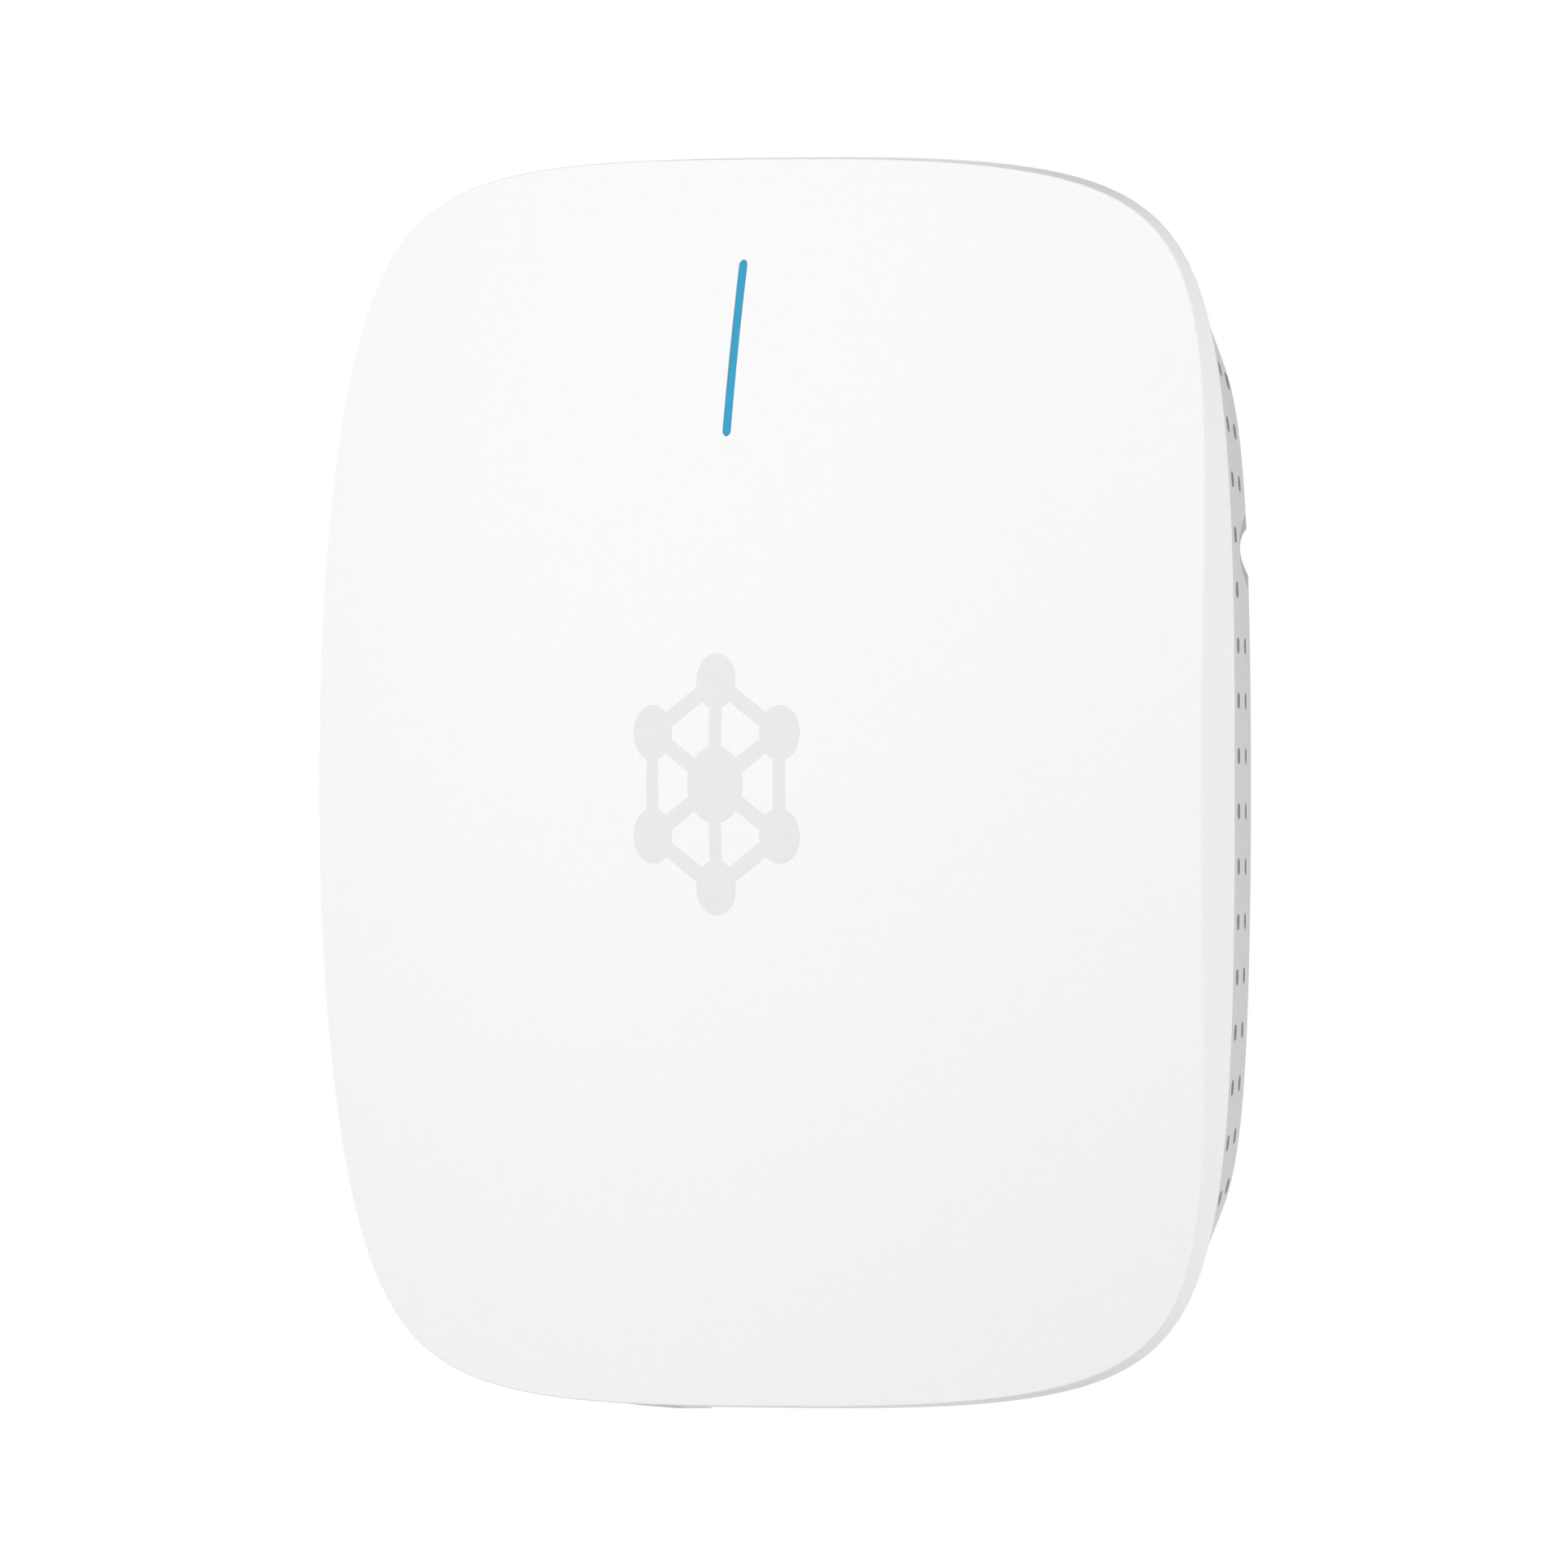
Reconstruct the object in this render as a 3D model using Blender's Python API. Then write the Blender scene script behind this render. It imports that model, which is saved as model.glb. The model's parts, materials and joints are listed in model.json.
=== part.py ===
"""Wall-mounted wireless access point: domed cover, vented rear housing, board stack and wall bracket.

The front faces -Y, +Z is up and +X is to the right seen from the front. The wall plane is y = 0, and
the origin is the centre of the bracket's back face on it. Depths are y values, more negative to the front.
"""

from math import atan2, cos, pi, radians, sin, sqrt

import bmesh
import bpy
from mathutils import Matrix, Vector

MM = 0.001
GAP = 0.3 * MM                    # clearance between pieces that touch

# Outline of the body, seen from the front: a squircle |x|^p + |z|^p - s |x|^p |z|^p = 1
BODY_HALF = 90.0 * MM             # half width and half height at the parting line
BODY_POWER, BODY_SQUARENESS = 2.9, 0.73
REAR_HALF = 72.4 * MM             # half width and half height at the rear plane
REAR_POWER, REAR_SQUARENESS = 2.0, 0.927
OUTLINE_STEPS = 96

# Depths
REAR_Y = -1.0 * MM                # rear plane of the housing, just off the wall
PARTING_Y = -22.0 * MM            # where cover and housing meet
BAND_HEIGHT = 6.85 * MM           # side band of the cover at the middle of each edge
DOME_RADIUS = 443.0 * MM
BAND_FLARE = 0.25 * MM            # the band widens this much towards the parting line
COVER_WALL = 2.1 * MM
HOUSING_INSET = 0.4 * MM          # housing's edge behind the cover's edge
HOUSING_WALL = 2.9 * MM           # measured square to Y, so about 2.2 mm through the sloping wall
BACK_WALL = 2.5 * MM

# Bracket pocket in the back of the housing, and the bracket that sits in it
POCKET_Y = -3.0 * MM
POCKET_HALF_WIDTH = 44.0 * MM
POCKET_BOTTOM, POCKET_TOP = -55.0 * MM, 58.5 * MM
SHEET = 1.5 * MM                  # bracket sheet steel
BRACKET_HALF_WIDTH = 42.0 * MM
BRACKET_BOTTOM, BRACKET_TOP = -46.0 * MM, 57.0 * MM
LIFT = 8.0 * MM                   # the body lifts this far to come off its hooks
HOOK_X = 22.5 * MM                # keeps the hooks clear of the cable bay's wall as the body lifts
HOOK_LEVELS = (-42.0 * MM, 52.0 * MM)   # underside of each hook's stem
HOOK_WIDTH = 8.0 * MM
HOOK_CATCH = 5.0 * MM
BACK_INNER_Y = POCKET_Y - BACK_WALL     # front of the pocket's floor

# Cable bay, open at the back, with the sockets on its left wall
BAY_LEFT, BAY_BOTTOM, BAY_TOP = 30.0 * MM, -2.0 * MM, 45.0 * MM
BAY_FLOOR_Y = -17.0 * MM
BAY_WALL = 2.0 * MM
BAY_FLOOR_WALL = 1.4 * MM
NOTCH_Z = 33.5 * MM               # cable exit in the right wall, level with the Ethernet socket
NOTCH_HALF_WIDTH = 3.4 * MM
NOTCH_DEPTH = 9.0 * MM

# Vent slots: two rows along each side
VENT_PITCH = 7.95 * MM
VENTS_PER_SIDE = 16
VENT_ROWS = (0.36, 0.75)          # as a fraction of the wall from parting line to rear plane
VENT_WIDTH, VENT_LENGTH = 2.2 * MM, 4.4 * MM

# Lock lug under the band, left of centre
LUG_LEFT, LUG_RIGHT = -41.0 * MM, -22.5 * MM
LUG_DEPTH = 7.0 * MM
LUG_PROUD = 0.4 * MM

# Status light: an upright bar on the centre line
LIGHT_Z = 62.7 * MM
LIGHT_LENGTH, LIGHT_WIDTH = 25.4 * MM, 1.5 * MM
LIGHT_INNER_Y = -27.1 * MM
LED_BOARD_Y = -25.2 * MM          # front face of the light's own board
LED_BOARD_THICKNESS = 1.2 * MM

# Boards
BOARD_BACK_Y = -19.0 * MM
BOARD_THICKNESS = 1.6 * MM
BOARD_FRONT_Y = BOARD_BACK_Y - BOARD_THICKNESS
BOARD_HALF, BOARD_CORNER = 60.0 * MM, 32.0 * MM
BOARD_SCREWS = ((-46 * MM, -46 * MM), (-46 * MM, 50 * MM), (46 * MM, 50 * MM), (46 * MM, -46 * MM))
CASE_SCREW = 55.0 * MM            # case screws at (+-this, +-this)

# Latch spring riveted to the bracket: a leaf whose wedge nose drops into a hole in the pocket's floor
LATCH_HINGE_Z = -38.5 * MM        # the leaf bends here, at the foot of the bracket's window
LATCH_END = -16.0 * MM
LATCH_HALF = 5.0 * MM
LATCH_Y = -1.8 * MM               # back of the leaf
LEAF = 0.5 * MM
LATCH_NOSE_LOW, LATCH_NOSE_HIGH, LATCH_NOSE_Y = -26.0 * MM, -18.0 * MM, -4.2 * MM
LATCH_HOLE_HALF, LATCH_HOLE_TOP = 6.5 * MM, -16.8 * MM
LATCH_WINDOW = (-7.0 * MM, -38.0 * MM, 7.0 * MM, -13.5 * MM)
CABLE_WINDOW = (-16.0 * MM, 9.0 * MM, 16.0 * MM, 37.0 * MM)
RIVET_X = (-2.8 * MM, 2.8 * MM)
RIVET_Z = -40.5 * MM
RIVET_SLACK = 0.35 * MM           # under the heads, because the leaf tilts about its hinge line

# Sockets and switch on the bay's left wall
JACK_WIDTH, JACK_LENGTH, JACK_Z = 16.0 * MM, 21.0 * MM, NOTCH_Z
JACK_LOW_Y, JACK_HIGH_Y = BOARD_BACK_Y + GAP, -6.0 * MM
DC_WIDTH, DC_LENGTH, DC_Z = 9.0 * MM, 14.0 * MM, 13.5 * MM
DC_LOW_Y, DC_HIGH_Y = BOARD_BACK_Y + GAP, -7.6 * MM
RESET_Y, RESET_Z, RESET_RADIUS = -13.0 * MM, 3.0 * MM, 1.6 * MM
RESET_TRAVEL = 0.5 * MM
SOCKET_PROUD = 0.4 * MM           # the sockets' faces stand this far out of the wall

# Shielded chips on the back of the board: name, centre, size of the can, size of the chip
CAN_TOP_Y, PAD_TOP_Y = -15.2 * MM, -13.4 * MM
SPREADER_Y, SPREADER_SHEET, FIN_TOP_Y = -13.1 * MM, 2.0 * MM, -8.6 * MM
CHIP_SETS = (
    ("cpu", (-30 * MM, 2 * MM), (30 * MM, 34 * MM), (19 * MM, 19 * MM)),
    ("radio_2g", (-28 * MM, 30 * MM), (26 * MM, 15 * MM), (9 * MM, 9 * MM)),
    ("radio_5g", (-28 * MM, -28 * MM), (26 * MM, 17 * MM), (11 * MM, 11 * MM)),
)

# Blank rating label on the back
LABEL_LEFT, LABEL_RIGHT, LABEL_HALF = -67.0 * MM, -50.0 * MM, 26.0 * MM

WHITE = (0.88, 0.88, 0.875)
COVER_WHITE = (0.93, 0.93, 0.93)


# ---------------------------------------------------------------- materials

def make_material(name, colour, roughness, metallic=0.0):
    material = bpy.data.materials.new(name)
    material.use_nodes = True
    shader = material.node_tree.nodes["Principled BSDF"]
    shader.inputs["Base Color"].default_value = (*colour, 1.0)
    shader.inputs["Roughness"].default_value = roughness
    shader.inputs["Metallic"].default_value = metallic
    material.diffuse_color = (*colour, 1.0)
    return material


# ---------------------------------------------------------------- mesh helpers

def to_object(name, bm):
    bmesh.ops.recalc_face_normals(bm, faces=bm.faces)
    mesh = bpy.data.meshes.new(name)
    bm.to_mesh(mesh)
    bm.free()
    obj = bpy.data.objects.new(name, mesh)
    bpy.context.collection.objects.link(obj)
    return obj


def skin(rings, name="skin", start=None, end=None):
    """Closed solid through rings of points. start and end are tip points; without one, that end is flat."""
    bm = bmesh.new()
    rows = [[bm.verts.new(point) for point in ring] for ring in rings]
    count = len(rings[0])
    for row, following in zip(rows, rows[1:]):
        for i in range(count):
            j = (i + 1) % count
            bm.faces.new((row[i], row[j], following[j], following[i]))
    for tip, row in ((start, rows[0]), (end, rows[-1])):
        if tip is None:
            bm.faces.new(row)
            continue
        centre = bm.verts.new(tip)
        for i in range(count):
            bm.faces.new((centre, row[i], row[(i + 1) % count]))
    return to_object(name, bm)


def place(axis, a, b, height):
    """Point at (a, b) across an axis and at a height along it."""
    return {"x": (height, a, b), "y": (a, height, b), "z": (a, b, height)}[axis]


def prism(points, axis, low, high, name="prism"):
    """Extrude a closed 2-D outline along axis: (x, z) points for "y", (y, z) for "x", (x, y) for "z"."""
    return skin([[place(axis, a, b, height) for a, b in points] for height in (low, high)], name)


def block(low, high, name="block"):
    (x0, y0, z0), (x1, y1, z1) = low, high
    return prism([(x0, z0), (x1, z0), (x1, z1), (x0, z1)], "y", y0, y1, name)


def circle(centre_a, centre_b, radius, steps=24):
    return [(centre_a + radius * cos(2 * pi * i / steps), centre_b + radius * sin(2 * pi * i / steps))
            for i in range(steps)]


def rounded(low_a, low_b, high_a, high_b, radius, steps=4):
    """Rectangle with round corners, counter-clockwise."""
    corners = ((high_a - radius, high_b - radius, 0), (low_a + radius, high_b - radius, 1),
               (low_a + radius, low_b + radius, 2), (high_a - radius, low_b + radius, 3))
    turns = [(a, b, pi / 2 * (quarter + i / steps)) for a, b, quarter in corners for i in range(steps + 1)]
    return [(a + radius * cos(angle), b + radius * sin(angle)) for a, b, angle in turns]


def combine(target, operation, *tools):
    """Apply an exact Boolean with each tool in turn, and use the tool up."""
    for tool in tools:
        modifier = target.modifiers.new("Boolean", "BOOLEAN")
        modifier.operation = operation
        modifier.solver = "EXACT"
        modifier.object = tool
        bpy.context.view_layer.update()
        graph = bpy.context.evaluated_depsgraph_get()
        result = bpy.data.meshes.new_from_object(target.evaluated_get(graph))
        target.modifiers.clear()
        target.data = result
        bpy.data.objects.remove(tool)
    return target


def cut(target, *tools):
    return combine(target, "DIFFERENCE", *tools)


def fuse(target, *tools):
    return combine(target, "UNION", *tools)


def move_origin(obj, place):
    """Put the object's origin at a place, such as a point on its joint's axis, and leave its shape alone."""
    obj.data.transform(Matrix.Translation(-Vector(place)))
    obj.location = place
    return obj


def finish(obj, name, material, smooth_angle=30.0):
    obj.name = name
    obj.data.name = name
    obj.data.materials.clear()
    obj.data.materials.append(material)
    obj.data.shade_smooth()
    obj.data.set_sharp_from_angle(angle=radians(smooth_angle))
    return obj


# ---------------------------------------------------------------- body shape

def squircle(angle, power, squareness):
    """Distance from the centre to a squircle of half size 1, at a polar angle."""
    c, s = abs(cos(angle)) ** power, abs(sin(angle)) ** power
    product, total = squareness * c * s, c + s
    if product < 1e-9:
        return (1 / total) ** (1 / power)
    return ((total - sqrt(total * total - 4 * product)) / (2 * product)) ** (1 / power)


def body_point(angle, scale=1.0):
    r = BODY_HALF * scale * squircle(angle, BODY_POWER, BODY_SQUARENESS)
    return r * cos(angle), r * sin(angle)


def outline_angles():
    return [2 * pi * (i + 0.5) / OUTLINE_STEPS for i in range(OUTLINE_STEPS)]


def dome_y(x, z):
    return PARTING_Y - BAND_HEIGHT + (x * x + z * z - BODY_HALF ** 2) / (2 * DOME_RADIUS)


def wall_point(angle, fraction, inset=0.0):
    """Point on the housing's sloping wall; fraction 0 is the parting line and 1 the rear plane."""
    front = Vector(body_point(angle, 1 - HOUSING_INSET / BODY_HALF))
    r = REAR_HALF * squircle(angle, REAR_POWER, REAR_SQUARENESS)
    rear = Vector((r * cos(angle), r * sin(angle)))
    point = front.lerp(rear, fraction)
    return point - wall_normal(angle, fraction) * inset if inset else point


def wall_normal(angle, fraction):
    step = 0.002
    along = wall_point(angle + step, fraction) - wall_point(angle - step, fraction)
    return Vector((along.y, -along.x)).normalized()


def wall_depth(fraction):
    return PARTING_Y + fraction * (REAR_Y - PARTING_Y)


def wall_loft(inset, first, last):
    """Solid bounded by the sloping wall moved in by inset, between two fractions of its depth."""
    rings = []
    for fraction in (first, last):
        ring = [wall_point(angle, fraction, inset) for angle in outline_angles()]
        rings.append([(p.x, wall_depth(fraction), p.y) for p in ring])
    return skin(rings)


# ---------------------------------------------------------------- front cover

def case_screw_places():
    return [(sx * CASE_SCREW, sz * CASE_SCREW) for sx in (-1, 1) for sz in (-1, 1)]


def light_bar(width, length, low, high, steps=6):
    """Round-ended upright bar about the status light's centre, extruded along Y."""
    run = (length - width) / 2
    points = []
    for end, start_angle in ((1, 0.0), (-1, pi)):
        for i in range(steps + 1):
            angle = start_angle + pi * i / steps
            points.append((width / 2 * cos(angle), LIGHT_Z + end * run + width / 2 * sin(angle)))
    return prism(points, "y", low, high)


def dome_slab(obj, offset):
    """Trim a solid's front to the dome moved back by offset."""
    rings = []
    for scale in (0.3, 0.6, 0.85, 1.1):
        ring = [body_point(angle, scale) for angle in outline_angles()]
        rings.append([(x, dome_y(x, z) + offset, z) for x, z in ring])
    rings.append([(x, 0.02, z) for x, _, z in rings[-1]])
    keep = skin(rings, start=(0, dome_y(0, 0) + offset, 0))
    return combine(obj, "INTERSECT", keep)


def front_cover(material):
    angles = outline_angles()
    edge_y = PARTING_Y - GAP / 2
    rings = []
    for scale in (0.28, 0.52, 0.74, 0.9, 1.0):
        rings.append([(x, dome_y(x, z), z) for x, z in (body_point(a, scale) for a in angles)])
    flare = 1 + BAND_FLARE / BODY_HALF
    rings.append([(x, edge_y, z) for x, z in (body_point(a, flare) for a in angles)])
    inner = 1 - COVER_WALL / BODY_HALF
    rings.append([(x, edge_y, z) for x, z in (body_point(a, inner) for a in angles)])
    for scale in (inner, 0.74, 0.45):
        ring = [body_point(a, scale) for a in angles]
        rings.append([(x, dome_y(x, z) + COVER_WALL, z) for x, z in ring])
    top = dome_y(0, 0)
    cover = skin(rings, "front_cover", start=(0, top, 0), end=(0, top + COVER_WALL, 0))
    for x, z in case_screw_places():
        root = dome_y(x, z) + COVER_WALL / 2
        fuse(cover, prism(circle(x, z, 4.2 * MM, 16), "y", root, PARTING_Y - GAP))
        cut(cover, prism(circle(x, z, 1.7 * MM, 12), "y", root + COVER_WALL, PARTING_Y))
    for z in light_post_levels():
        fuse(cover, prism(circle(0, z, 1.8 * MM, 12), "y", dome_y(0, z) + COVER_WALL / 2,
                          LED_BOARD_Y - GAP))
    cut(cover, light_bar(LIGHT_WIDTH + 2 * GAP, LIGHT_LENGTH + 2 * GAP, top - 5 * MM, LIGHT_INNER_Y))
    return finish(cover, "front_cover", material, 25)


# ---------------------------------------------------------------- rear housing

def vent_places():
    """(side, distance along it) of each vent column; the sides are 0 right, 1 top, 2 left and 3 bottom."""
    for side in range(4):
        for index in range(VENTS_PER_SIDE):
            yield side, (index - (VENTS_PER_SIDE - 1) / 2) * VENT_PITCH


def vent_cutter(side, along, row):
    """Box through the sloping wall, at a distance along one side, on one of the two rows."""
    base = side * pi / 2
    angle = base + solve_angle(along, VENT_ROWS[0])
    start, normal = wall_point(angle, VENT_ROWS[0]), wall_normal(angle, VENT_ROWS[0])
    inward = (row - VENT_ROWS[0]) * (BODY_HALF - REAR_HALF)
    centre = start - normal * inward
    depth = wall_depth(row)
    tangent = Vector((-normal.y, 0, normal.x))
    slope = Vector((-normal.x * (BODY_HALF - REAR_HALF), REAR_Y - PARTING_Y,
                    -normal.y * (BODY_HALF - REAR_HALF))).normalized()
    through = tangent.cross(slope).normalized()
    frame = Matrix((tangent, slope, through)).transposed()
    half = (VENT_WIDTH / 2, VENT_LENGTH / 2, 4 * MM)
    corners = [Vector((a * half[0], b * half[1], c * half[2]))
               for a in (-1, 1) for b in (-1, 1) for c in (-1, 1)]
    return [frame @ corner + Vector((centre.x, depth, centre.y)) for corner in corners]


def solve_angle(along, fraction):
    """Polar angle, from the middle of a side, of the wall point at a distance along that side."""
    angle = 0.0
    for _ in range(30):
        point = wall_point(angle, fraction)
        angle = atan2(along, point.x)
    return angle


def vent_cutters(skip):
    faces = ((0, 1, 3, 2), (4, 6, 7, 5), (0, 4, 5, 1), (2, 3, 7, 6), (0, 2, 6, 4), (1, 5, 7, 3))
    bm = bmesh.new()
    for side, along in vent_places():
        for row in VENT_ROWS:
            if skip(side, along, row):
                continue
            verts = [bm.verts.new(corner) for corner in vent_cutter(side, along, row)]
            for face in faces:
                bm.faces.new([verts[i] for i in face])
    return to_object("vents", bm)


def vent_is_missing(side, along, row):
    """The cable notch takes slots of the right wall's rear row, and the lug some of the bottom wall's."""
    if side == 0:
        return row == VENT_ROWS[1] and abs(along - NOTCH_Z) < 8 * MM
    return side == 3 and LUG_LEFT - 4 * MM < along < LUG_RIGHT + 4 * MM


def notch_cutter():
    """Cable exit: a parabolic notch in the right wall's rear edge."""
    steps = 10
    points = []
    for i in range(steps + 1):
        across = 2 * i / steps - 1
        points.append((REAR_Y - NOTCH_DEPTH * (1 - across * across), NOTCH_Z + across * NOTCH_HALF_WIDTH))
    points += [(2 * MM, NOTCH_Z + NOTCH_HALF_WIDTH), (2 * MM, NOTCH_Z - NOTCH_HALF_WIDTH)]
    return prism(points, "x", 60 * MM, 92 * MM)


def lock_lug():
    """Lug that follows the body's lower edge, a little proud of it, with its left end run out flush."""
    steps = 6
    lower = []
    for i in range(steps + 1):
        x = LUG_RIGHT + (LUG_LEFT - LUG_RIGHT) * i / steps
        angle = -pi / 2
        for _ in range(30):
            z = body_point(angle)[1]
            angle = atan2(z, x)
        proud = LUG_PROUD * min(1.0, (steps - i) / 1.5)
        lower.append((x, z - proud))
    top = -(BODY_HALF - 16 * MM)
    return prism(lower + [(LUG_LEFT, top), (LUG_RIGHT, top)], "y",
                 PARTING_Y + GAP / 2, PARTING_Y + LUG_DEPTH)


def rear_housing(material):
    front = GAP / 2 / (REAR_Y - PARTING_Y)
    housing = wall_loft(0.0, front, 1.0)
    housing.name = "rear_housing"
    inner_back = (REAR_Y - BACK_WALL - PARTING_Y) / (REAR_Y - PARTING_Y)
    cut(housing, wall_loft(HOUSING_WALL, -0.05, inner_back))
    wall = BACK_WALL
    fuse(housing, block((-POCKET_HALF_WIDTH - wall, BACK_INNER_Y, POCKET_BOTTOM - wall),
                        (POCKET_HALF_WIDTH + wall, POCKET_Y - 0.2 * MM, POCKET_TOP + wall)))
    bay = block((BAY_LEFT - BAY_WALL, BAY_FLOOR_Y - BAY_FLOOR_WALL, BAY_BOTTOM - BAY_WALL),
                (BODY_HALF, REAR_Y - 1.2 * MM, BAY_TOP + BAY_WALL))
    fuse(housing, combine(bay, "INTERSECT", wall_loft(HOUSING_WALL / 2, -0.05, 1.05)))
    for x, z in BOARD_SCREWS:
        fuse(housing, prism(circle(x, z, 3.1 * MM, 16), "y", BOARD_BACK_Y + GAP, REAR_Y - 1.1 * MM))
    for x, z in case_screw_places():
        fuse(housing, prism(circle(x, z, 4.6 * MM, 20), "y", PARTING_Y, REAR_Y - 0.9 * MM))
    fuse(housing, lock_lug())

    cut(housing, block((-POCKET_HALF_WIDTH, POCKET_Y, POCKET_BOTTOM),
                       (POCKET_HALF_WIDTH, 1 * MM, POCKET_TOP)))
    hollow = block((BAY_LEFT, BAY_FLOOR_Y, BAY_BOTTOM), (BODY_HALF, 1 * MM, BAY_TOP))
    cut(housing, combine(hollow, "INTERSECT", wall_loft(HOUSING_WALL, -0.05, 1.15)))
    for x, z in BOARD_SCREWS:
        cut(housing, prism(circle(x, z, 1.6 * MM, 12), "y", BOARD_BACK_Y, BOARD_BACK_Y + 9 * MM))
    for x, z in case_screw_places():
        cut(housing, prism(circle(x, z, 1.8 * MM, 12), "y", PARTING_Y - 1 * MM, 1 * MM))
        cut(housing, prism(circle(x, z, 3.7 * MM, 20), "y", REAR_Y - 3.2 * MM, 1 * MM))
    for level in HOOK_LEVELS:
        for sign in (-1, 1):
            x, half = sign * HOOK_X, HOOK_WIDTH / 2 + 1.2 * MM
            cut(housing, block((x - half, BACK_INNER_Y - 1 * MM, level - LIFT - 0.5 * MM),
                               (x + half, 0, level + SHEET + GAP)))
    cut(housing, block((-LATCH_HOLE_HALF, BACK_INNER_Y - 1 * MM, LATCH_NOSE_LOW),
                       (LATCH_HOLE_HALF, 0, LATCH_HOLE_TOP)))
    wall_low, wall_high = BAY_LEFT - BAY_WALL - 1 * MM, BAY_LEFT + 1 * MM
    cut(housing, block((wall_low, JACK_LOW_Y - GAP, JACK_Z - JACK_WIDTH / 2 - GAP),
                       (wall_high, JACK_HIGH_Y + GAP, JACK_Z + JACK_WIDTH / 2 + GAP)))
    cut(housing, block((wall_low, DC_LOW_Y - GAP, DC_Z - DC_WIDTH / 2 - GAP),
                       (wall_high, DC_HIGH_Y + GAP, DC_Z + DC_WIDTH / 2 + GAP)))
    cut(housing, prism(circle(RESET_Y, RESET_Z, RESET_RADIUS + GAP, 16), "x", wall_low, wall_high))
    cut(housing, prism(rounded(LABEL_LEFT - GAP, -LABEL_HALF - GAP, LABEL_RIGHT + GAP, LABEL_HALF + GAP,
                               2 * MM, 3), "y", REAR_Y - 0.5 * MM, 1 * MM))
    lock_x = (LUG_LEFT + LUG_RIGHT) / 2 + 1 * MM
    lock_y = PARTING_Y + LUG_DEPTH / 2 + 0.2 * MM
    cut(housing, prism(rounded(lock_x - 3.5 * MM, lock_y - 1.5 * MM, lock_x + 3.5 * MM, lock_y + 1.5 * MM,
                               1.2 * MM, 3), "z", -BODY_HALF - 2 * MM, -BODY_HALF + 8 * MM))
    cut(housing, notch_cutter())
    cut(housing, vent_cutters(vent_is_missing))
    return finish(housing, "rear_housing", material, 25)


# ---------------------------------------------------------------- wall bracket and its latch spring

def hook(x, level):
    """Tab that stands out of the sheet and turns up behind the housing's back wall."""
    tip_front = BACK_INNER_Y - GAP - SHEET
    profile = [(-0.5 * MM, level), (tip_front, level), (tip_front, level + SHEET + HOOK_CATCH),
               (tip_front + SHEET, level + SHEET + HOOK_CATCH), (tip_front + SHEET, level + SHEET),
               (-0.5 * MM, level + SHEET)]
    return prism(profile, "x", x - HOOK_WIDTH / 2, x + HOOK_WIDTH / 2)


def wall_bracket(material):
    outline = rounded(-BRACKET_HALF_WIDTH, BRACKET_BOTTOM, BRACKET_HALF_WIDTH, BRACKET_TOP, 7 * MM, 5)
    plate = prism(outline, "y", -SHEET, 0.0, "wall_bracket")
    for x0, z0, x1, z1 in (LATCH_WINDOW, CABLE_WINDOW):
        cut(plate, prism(rounded(x0, z0, x1, z1, 3 * MM, 4), "y", -SHEET - 1 * MM, 1 * MM))
    for sign in (-1, 1):
        cut(plate, prism(rounded(sign * 30 * MM - 4.5 * MM, -2.3 * MM, sign * 30 * MM + 4.5 * MM, 2.3 * MM,
                                 2.2 * MM, 4), "y", -SHEET - 1 * MM, 1 * MM))
        for z in (-28 * MM, 36 * MM):
            cut(plate, prism(circle(sign * 32 * MM, z, 2.4 * MM, 20), "y", -SHEET - 1 * MM, 1 * MM))
        for level in HOOK_LEVELS:
            fuse(plate, hook(sign * HOOK_X, level))
        for z in (BRACKET_BOTTOM + 16 * MM, BRACKET_TOP - 26 * MM):
            fuse(plate, stiffener(sign, z))
    for x in RIVET_X:
        cut(plate, prism(circle(x, RIVET_Z, 1.3 * MM, 12), "y", -SHEET - 1 * MM, 1 * MM))
    return finish(plate, "wall_bracket", material)


def stiffener(sign, z):
    """Pressed rib along the sheet's outer edge."""
    x = sign * (BRACKET_HALF_WIDTH - 3 * MM)
    return prism(rounded(x - 1 * MM, z - 6 * MM, x + 1 * MM, z + 6 * MM, 0.9 * MM, 3), "y",
                 -SHEET - 0.7 * MM, -SHEET + 0.4 * MM)


def latch_spring(material):
    """Leaf with a wedge nose that drops into the housing's back wall."""
    low, high = LATCH_Y - LEAF, LATCH_Y
    leaf = prism(rounded(-LATCH_HALF, BRACKET_BOTTOM + 1.2 * MM, LATCH_HALF, LATCH_END, 1.5 * MM, 3), "y",
                 low, high, "latch_spring")
    nose = [(low + 0.2 * MM, LATCH_NOSE_LOW), (POCKET_Y + 0.4 * MM, LATCH_NOSE_LOW + 0.3 * MM),
            (LATCH_NOSE_Y, LATCH_NOSE_HIGH - 0.6 * MM), (LATCH_NOSE_Y, LATCH_NOSE_HIGH),
            (low + 0.2 * MM, LATCH_NOSE_HIGH)]
    fuse(leaf, prism(nose, "x", -LATCH_HALF + 1 * MM, LATCH_HALF - 1 * MM))
    for x in RIVET_X:
        cut(leaf, prism(circle(x, RIVET_Z, 1.3 * MM, 12), "y", low - 1 * MM, high + 1 * MM))
    move_origin(leaf, (0, (low + high) / 2, LATCH_HINGE_Z))
    return finish(leaf, "latch_spring", material)


def turned(profile, centre, axis, steps, name):
    """Solid of revolution: profile is (distance along axis, radius) pairs from end to end."""
    rings = [[place(axis, a, b, along) for a, b in circle(*centre, radius, steps)]
             for along, radius in profile]
    return skin(rings, name)


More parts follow.
